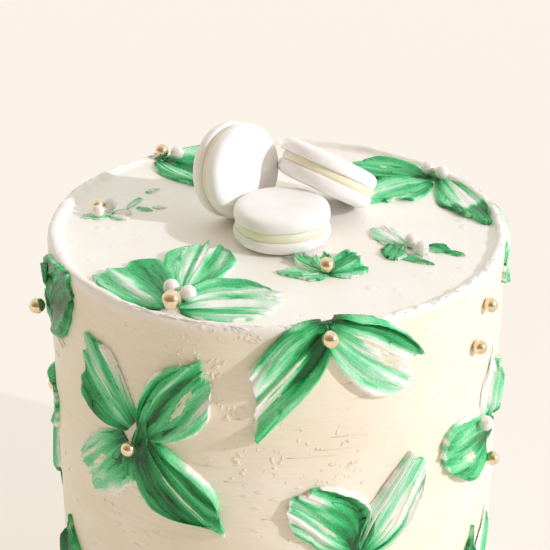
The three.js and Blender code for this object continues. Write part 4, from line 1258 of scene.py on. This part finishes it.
def draw_marks():
    """One row for each mark: u, v, half length, half width, height, turn and how far out."""
    rng = np.random.default_rng(MARKS_SEED)

    def draw(*spans):
        return [rng.uniform(*span) for span in spans]

    rows = []
    for along, up, count, long, wide, high, turn, spread in MARKS:
        for _ in range(count):
            rows.append(draw(along, up, long, wide, high, (turn - spread, turn + spread)) + [0.0])
    for number in range(RIM_CHIPS):
        span = FRONT_SPAN if number < FRONT_CHIPS else BACK_SPAN
        rows.append(draw(span, (-0.9, 0.15), (1.0, 4.0), (0.2, 0.4), (0.12, 0.32), (-9, 9), (-1.5, -0.5)))
    return rows


def make_marks():
    """Doubles one ball until there are enough, then shapes and lays each one."""
    bpy.ops.object.select_all(action="DESELECT")
    bpy.ops.mesh.primitive_ico_sphere_add(subdivisions=2, radius=1)
    marks = bpy.context.object
    marks.name = "icing_marks"
    size = len(marks.data.vertices)
    bpy.ops.object.mode_set(mode="EDIT")
    bpy.ops.mesh.select_all(action="SELECT")
    for _ in range(DOUBLINGS):
        bpy.ops.mesh.duplicate()
        bpy.ops.mesh.select_all(action="SELECT")
    bpy.ops.object.mode_set(mode="OBJECT")
    balls = read_points(marks).reshape(MARK_COUNT, size, 3)
    for ball, (u, v, long, wide, high, turn, out) in zip(balls, draw_marks()):
        lumps = 1 + 0.35 * soft_noise(ball[:, 0] * 2 + u, ball[:, 1] * 2 + ball[:, 2] + v + 200, LUMPS_SEED)
        along, across = rotate(ball[:, 0] * long * lumps, ball[:, 1] * wide * lumps, turn)
        tilt = 0.35 * high * ball[:, 0] * (1 if int(u * 7) % 2 else -1)
        rise = out + np.where(ball[:, 2] > 0, ball[:, 2] * high * lumps + tilt, ball[:, 2] * 0.8)
        ball[:] = to_space("wall", u + along, v + across, rise) * MM
    write_points(marks, balls)
    bpy.ops.object.shade_smooth()
    marks.data.materials.append(ICING)
    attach(marks, "root")
    return marks


icing_marks = make_marks()
print("icing marks", len(icing_marks.data.polygons), "faces")

# %% [markdown]
# ## Sugar pearls
#
# The CAD says where each pearl is and how large. A round ball is put in each place, a
# little uneven, and the balls of one colour are joined. A few pearls are nudged to sit
# well on the finished cream: on the wall round the cake and up, on the top to the right
# and back.

# %% Sugar pearls
WALL_NUDGES = {
    "wall_left_flower_pearl_1": (1.7, 0.0), "wall_right_flower_pearl_1": (-5.0, 2.6),
    "wall_right_flower_pearl_2": (-3.4, 2.8), "rim_right_flower_pearl_1": (6.0, -5.0),
    "rim_front_flower_pearl_1": (0.4, 1.5), "rim_left_flower_pearl_1": (5.0, 3.0),
}
TOP_NUDGES = {"top_left_dab_pearl_1": (2.4, -3.2), "top_left_dab_pearl_2": (1.6, 0.0)}
PEARL_CIRCLE = 105.0  # about how far the wall's pearls are from the middle of the cake
PEARL_UNEVENNESS = 0.012


def pearl_place(node, middle):
    """The middle of a pearl after its nudge."""
    if node in WALL_NUDGES:
        round_way, up = WALL_NUDGES[node]
        angle = math.atan2(middle[0], -middle[1]) + round_way / PEARL_CIRCLE
        out = math.hypot(middle[0], middle[1])
        return np.array([out * math.sin(angle), -out * math.cos(angle), middle[2] + up * MM])
    across, back = TOP_NUDGES.get(node, (0, 0))
    return middle + np.array([across * MM, back * MM, 0])


def make_pearls(name, slot, material):
    """Makes all the pearls of one colour, each in the place of its CAD node."""
    nodes = [row["node"] for row in frame["record"]["subparts"] if row["material_slot"] == slot]
    balls = []
    for number, node in enumerate(nodes):
        low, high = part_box(node)
        radius = (high - low).x / 2
        bpy.ops.object.select_all(action="DESELECT")
        bpy.ops.mesh.primitive_uv_sphere_add(segments=40, ring_count=24, radius=radius, location=(0, 0, 0))
        ball = bpy.context.object
        points = read_points(ball)
        bumps = soft_noise(points[:, 0] * 400 + 9 * number, points[:, 2] * 400 + 30, 70 + number)
        points = points * (1 + PEARL_UNEVENNESS * bumps)[:, None]
        write_points(ball, points + pearl_place(node, np.array((low + high) / 2)))
        bpy.ops.object.shade_smooth()
        balls.append(ball)
    pearls = join_pieces(balls, name)
    pearls.data.materials.append(material)
    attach(pearls, "root")
    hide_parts(*nodes)
    print(name, len(nodes), "pearls")


make_pearls("gold_pearls", "pearl_gold", GOLD_PEARL)
make_pearls("white_pearls", "pearl_white", WHITE_PEARL)

# %% [markdown]
# ## Macarons
#
# A macaron is piped, so it is round: each shell and the filling are spun from half an
# outline and then tipped into place. One stands on edge, one lies flat and one leans.
# `CROWN` is the outline of a shell from its domed top to its flat foot, as how far in
# from the rim and how far down. `half` is half the macaron's thickness, `cream` half the
# filling's, and `slide` and `wider` say how the upper shell differs from the lower one.

# %% Macarons
MACARONS = [
    dict(name="standing_macaron", at=(-17.7, 11.2, 20.1), axis=(0.74, -0.66, 0.14), radius=21.2,
         half=8.6, slide=0.0, wider=0.0, cream=1.5, inset_by=1.0),
    dict(name="lying_macaron", at=(2.4, -13.5, 7.05), axis=(0, 0, 1), radius=20.9,
         half=8.6, slide=0.0, wider=0.0, cream=2.1, inset_by=0.7),
    dict(name="leaning_macaron", at=(23.0, 17.3, 15.7), axis=(0.42, 0.35, 0.84), radius=22.3,
         half=8.5, slide=-1.5, wider=0.6, cream=1.7, inset_by=0.5),
]
CROWN = [(14, 0.0), (10, 0.04), (7, 0.12), (5, 0.26), (3.4, 0.5), (2.2, 0.85), (1.3, 1.35), (0.65, 2.0),
         (0.25, 2.8), (0.05, 3.8), (0.0, 5.0), (0.12, 5.65), (0.45, 6.0), (1.2, 6.15)]
CROWN_HEIGHT = 6.3
MACARON_STEPS = 96
SHELL_WOBBLE, FILLING_WOBBLE = 0.12, 0.25


def tip_into_place(obj, at, axis, slide, seed, unevenness):
    """Roughens a spun piece slightly, then turns its axis and moves it into place."""
    points = read_points(obj) / MM
    angle = np.arctan2(points[:, 1], points[:, 0]) / (2 * math.pi) * NOISE_PERIOD
    radius = np.hypot(points[:, 0], points[:, 1])
    out = smooth_step(12, 20, radius)
    wobble = soft_noise(angle * 0.5, points[:, 2] * 0.2, seed)
    wobble = unevenness * (wobble + 0.5 * soft_noise(angle * 2, points[:, 2] * 0.4, seed + 1))
    points[:, :2] *= (1 + out * wobble / 20)[:, None]
    points[:, 0] += slide
    turn = Vector((0, 0, 1)).rotation_difference(Vector(axis)).to_matrix()
    points = points @ np.array(turn).T + np.array([at[0], at[1], at[2] + CAKE_HEIGHT])
    write_points(obj, points * MM)


def make_macaron(name, at, axis, radius, half, slide, wider, cream, inset_by, seed):
    """Spins the two shells and the filling of one macaron and puts them in place."""
    taller = (half - cream) / CROWN_HEIGHT
    crown = [(inset, half - drop * taller) for inset, drop in CROWN]
    upper = [(0, half)] + [(radius + wider - inset, z) for inset, z in crown] + [(0, cream + 0.1)]
    lower = [(0, -half)] + [(radius - inset, -z) for inset, z in crown] + [(0, -cream - 0.1)]
    edge = radius - inset_by
    middle = [(edge, 0.25 * cream), (edge - 0.25, 0.75 * cream), (edge - 0.9, cream + 0.35), (0, cream + 0.5)]
    middle = [(r, -z) for r, z in reversed(middle)] + middle
    parts = [
        ("upper_shell", "top", upper, SHELL, "macaron_shell", slide, SHELL_WOBBLE),
        ("lower_shell", "base", lower, SHELL, "macaron_shell", 0, SHELL_WOBBLE),
        ("filling", "cream", middle, FILLING, "macaron_filling", 0, FILLING_WOBBLE),
    ]
    for number, (node, piece, outline, material, slot, shift, unevenness) in enumerate(parts):
        obj = spin_outline(f"{name}_{piece}", outline, MACARON_STEPS)
        tip_into_place(obj, at, axis, shift, seed + 3 * number, unevenness)
        obj.data.materials.append(material)
        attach(obj, "root")
        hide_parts(f"{name}_{node}")


for number, sizes in enumerate(MACARONS):
    make_macaron(**sizes, seed=50 + 10 * number)
print("macarons", len(MACARONS))

# %% [markdown]
# ## Floor and light
#
# The sun stands low at the right and a little to the front, as a window would. The rest
# of the room is a colour ramp over the world: bright behind the cake, dimmer and warmer
# in front of it. The floor glows a little, so it keeps one even warm tone.

# %% Floor and light
bpy.ops.mesh.primitive_circle_add(vertices=64, radius=12, fill_type="NGON", location=(0, 0, 0))
floor = bpy.context.object
floor.name = "floor"
floor_paint, tree, shader = new_material("floor_paint")
shader.inputs["Base Color"].default_value = (0.28, 0.28, 0.29, 1)
shader.inputs["Roughness"].default_value = 0.9
shader.inputs["Emission Color"].default_value = (0.655, 0.592, 0.515, 1)
shader.inputs["Emission Strength"].default_value = 1.0
floor.data.materials.append(floor_paint)

ROOM_STOPS = [
    (0.0, (1.0, 1.02, 0.98, 1)),
    (0.50, (0.94, 0.925, 0.85, 1)),
    (0.72, (0.60, 0.49, 0.375, 1)),
    (0.90, (0.30, 0.215, 0.15, 1)),
]
TOWARD_FRONT = (-0.36, -0.93, 0.08)
world = bpy.data.worlds.new("studio")
bpy.context.scene.world = world
world.use_nodes = True
tree = world.node_tree
sight = add_node(tree, "ShaderNodeTexCoord").outputs["Generated"]
toward = add_node(tree, "ShaderNodeVectorMath", operation="DOT_PRODUCT")
toward.inputs[1].default_value = TOWARD_FRONT
tree.links.new(sight, toward.inputs[0])
half_toward = math_node(tree, "MULTIPLY", toward.outputs["Value"], 0.5)
room = ramped(tree, math_node(tree, "ADD", half_toward, 0.5), ROOM_STOPS)
tree.links.new(room, tree.nodes["Background"].inputs["Color"])

SUN_AZIMUTH, SUN_HEIGHT = math.radians(-24), math.radians(25)
sun_data = bpy.data.lights.new("window", "SUN")
sun_data.energy = 2.0
sun_data.angle = math.radians(1.6)
sun_data.color = (0.985, 0.945, 1.05)
sun = bpy.data.objects.new("window", sun_data)
bpy.context.collection.objects.link(sun)
sun.rotation_euler = (math.pi / 2 - SUN_HEIGHT, 0, SUN_AZIMUTH + math.pi / 2)
print("lights", len(bpy.data.lights))

# %% [markdown]
# ## Camera
#
# The camera looks down at the top and the front of the cake. Its lens is worked out
# from how far the picture's plane would be from the eye, counted in pixels.

# %% Camera
PICTURE_WIDTH = 550  # pixels
FOCAL_LENGTH = 1748.57  # pixels
CAMERA_BACK, CAMERA_ABOVE_RIM = 700.13, 316.18
CAMERA_DOWN, CAMERA_ROLL = 26.03, 0.0009  # degrees, radians
camera_data = bpy.data.cameras.new("camera")
camera_data.sensor_width = 36
camera_data.lens = camera_data.sensor_width * FOCAL_LENGTH / PICTURE_WIDTH
camera = bpy.data.objects.new("camera", camera_data)
bpy.context.collection.objects.link(camera)
camera.location = (0, -CAMERA_BACK * MM, (CAKE_HEIGHT + CAMERA_ABOVE_RIM) * MM)
camera.rotation_euler = (math.radians(90 - CAMERA_DOWN), 0, CAMERA_ROLL)
bpy.context.scene.camera = camera
bpy.context.scene.view_settings.view_transform = "Standard"
print("lens", round(camera_data.lens, 1), "mm")
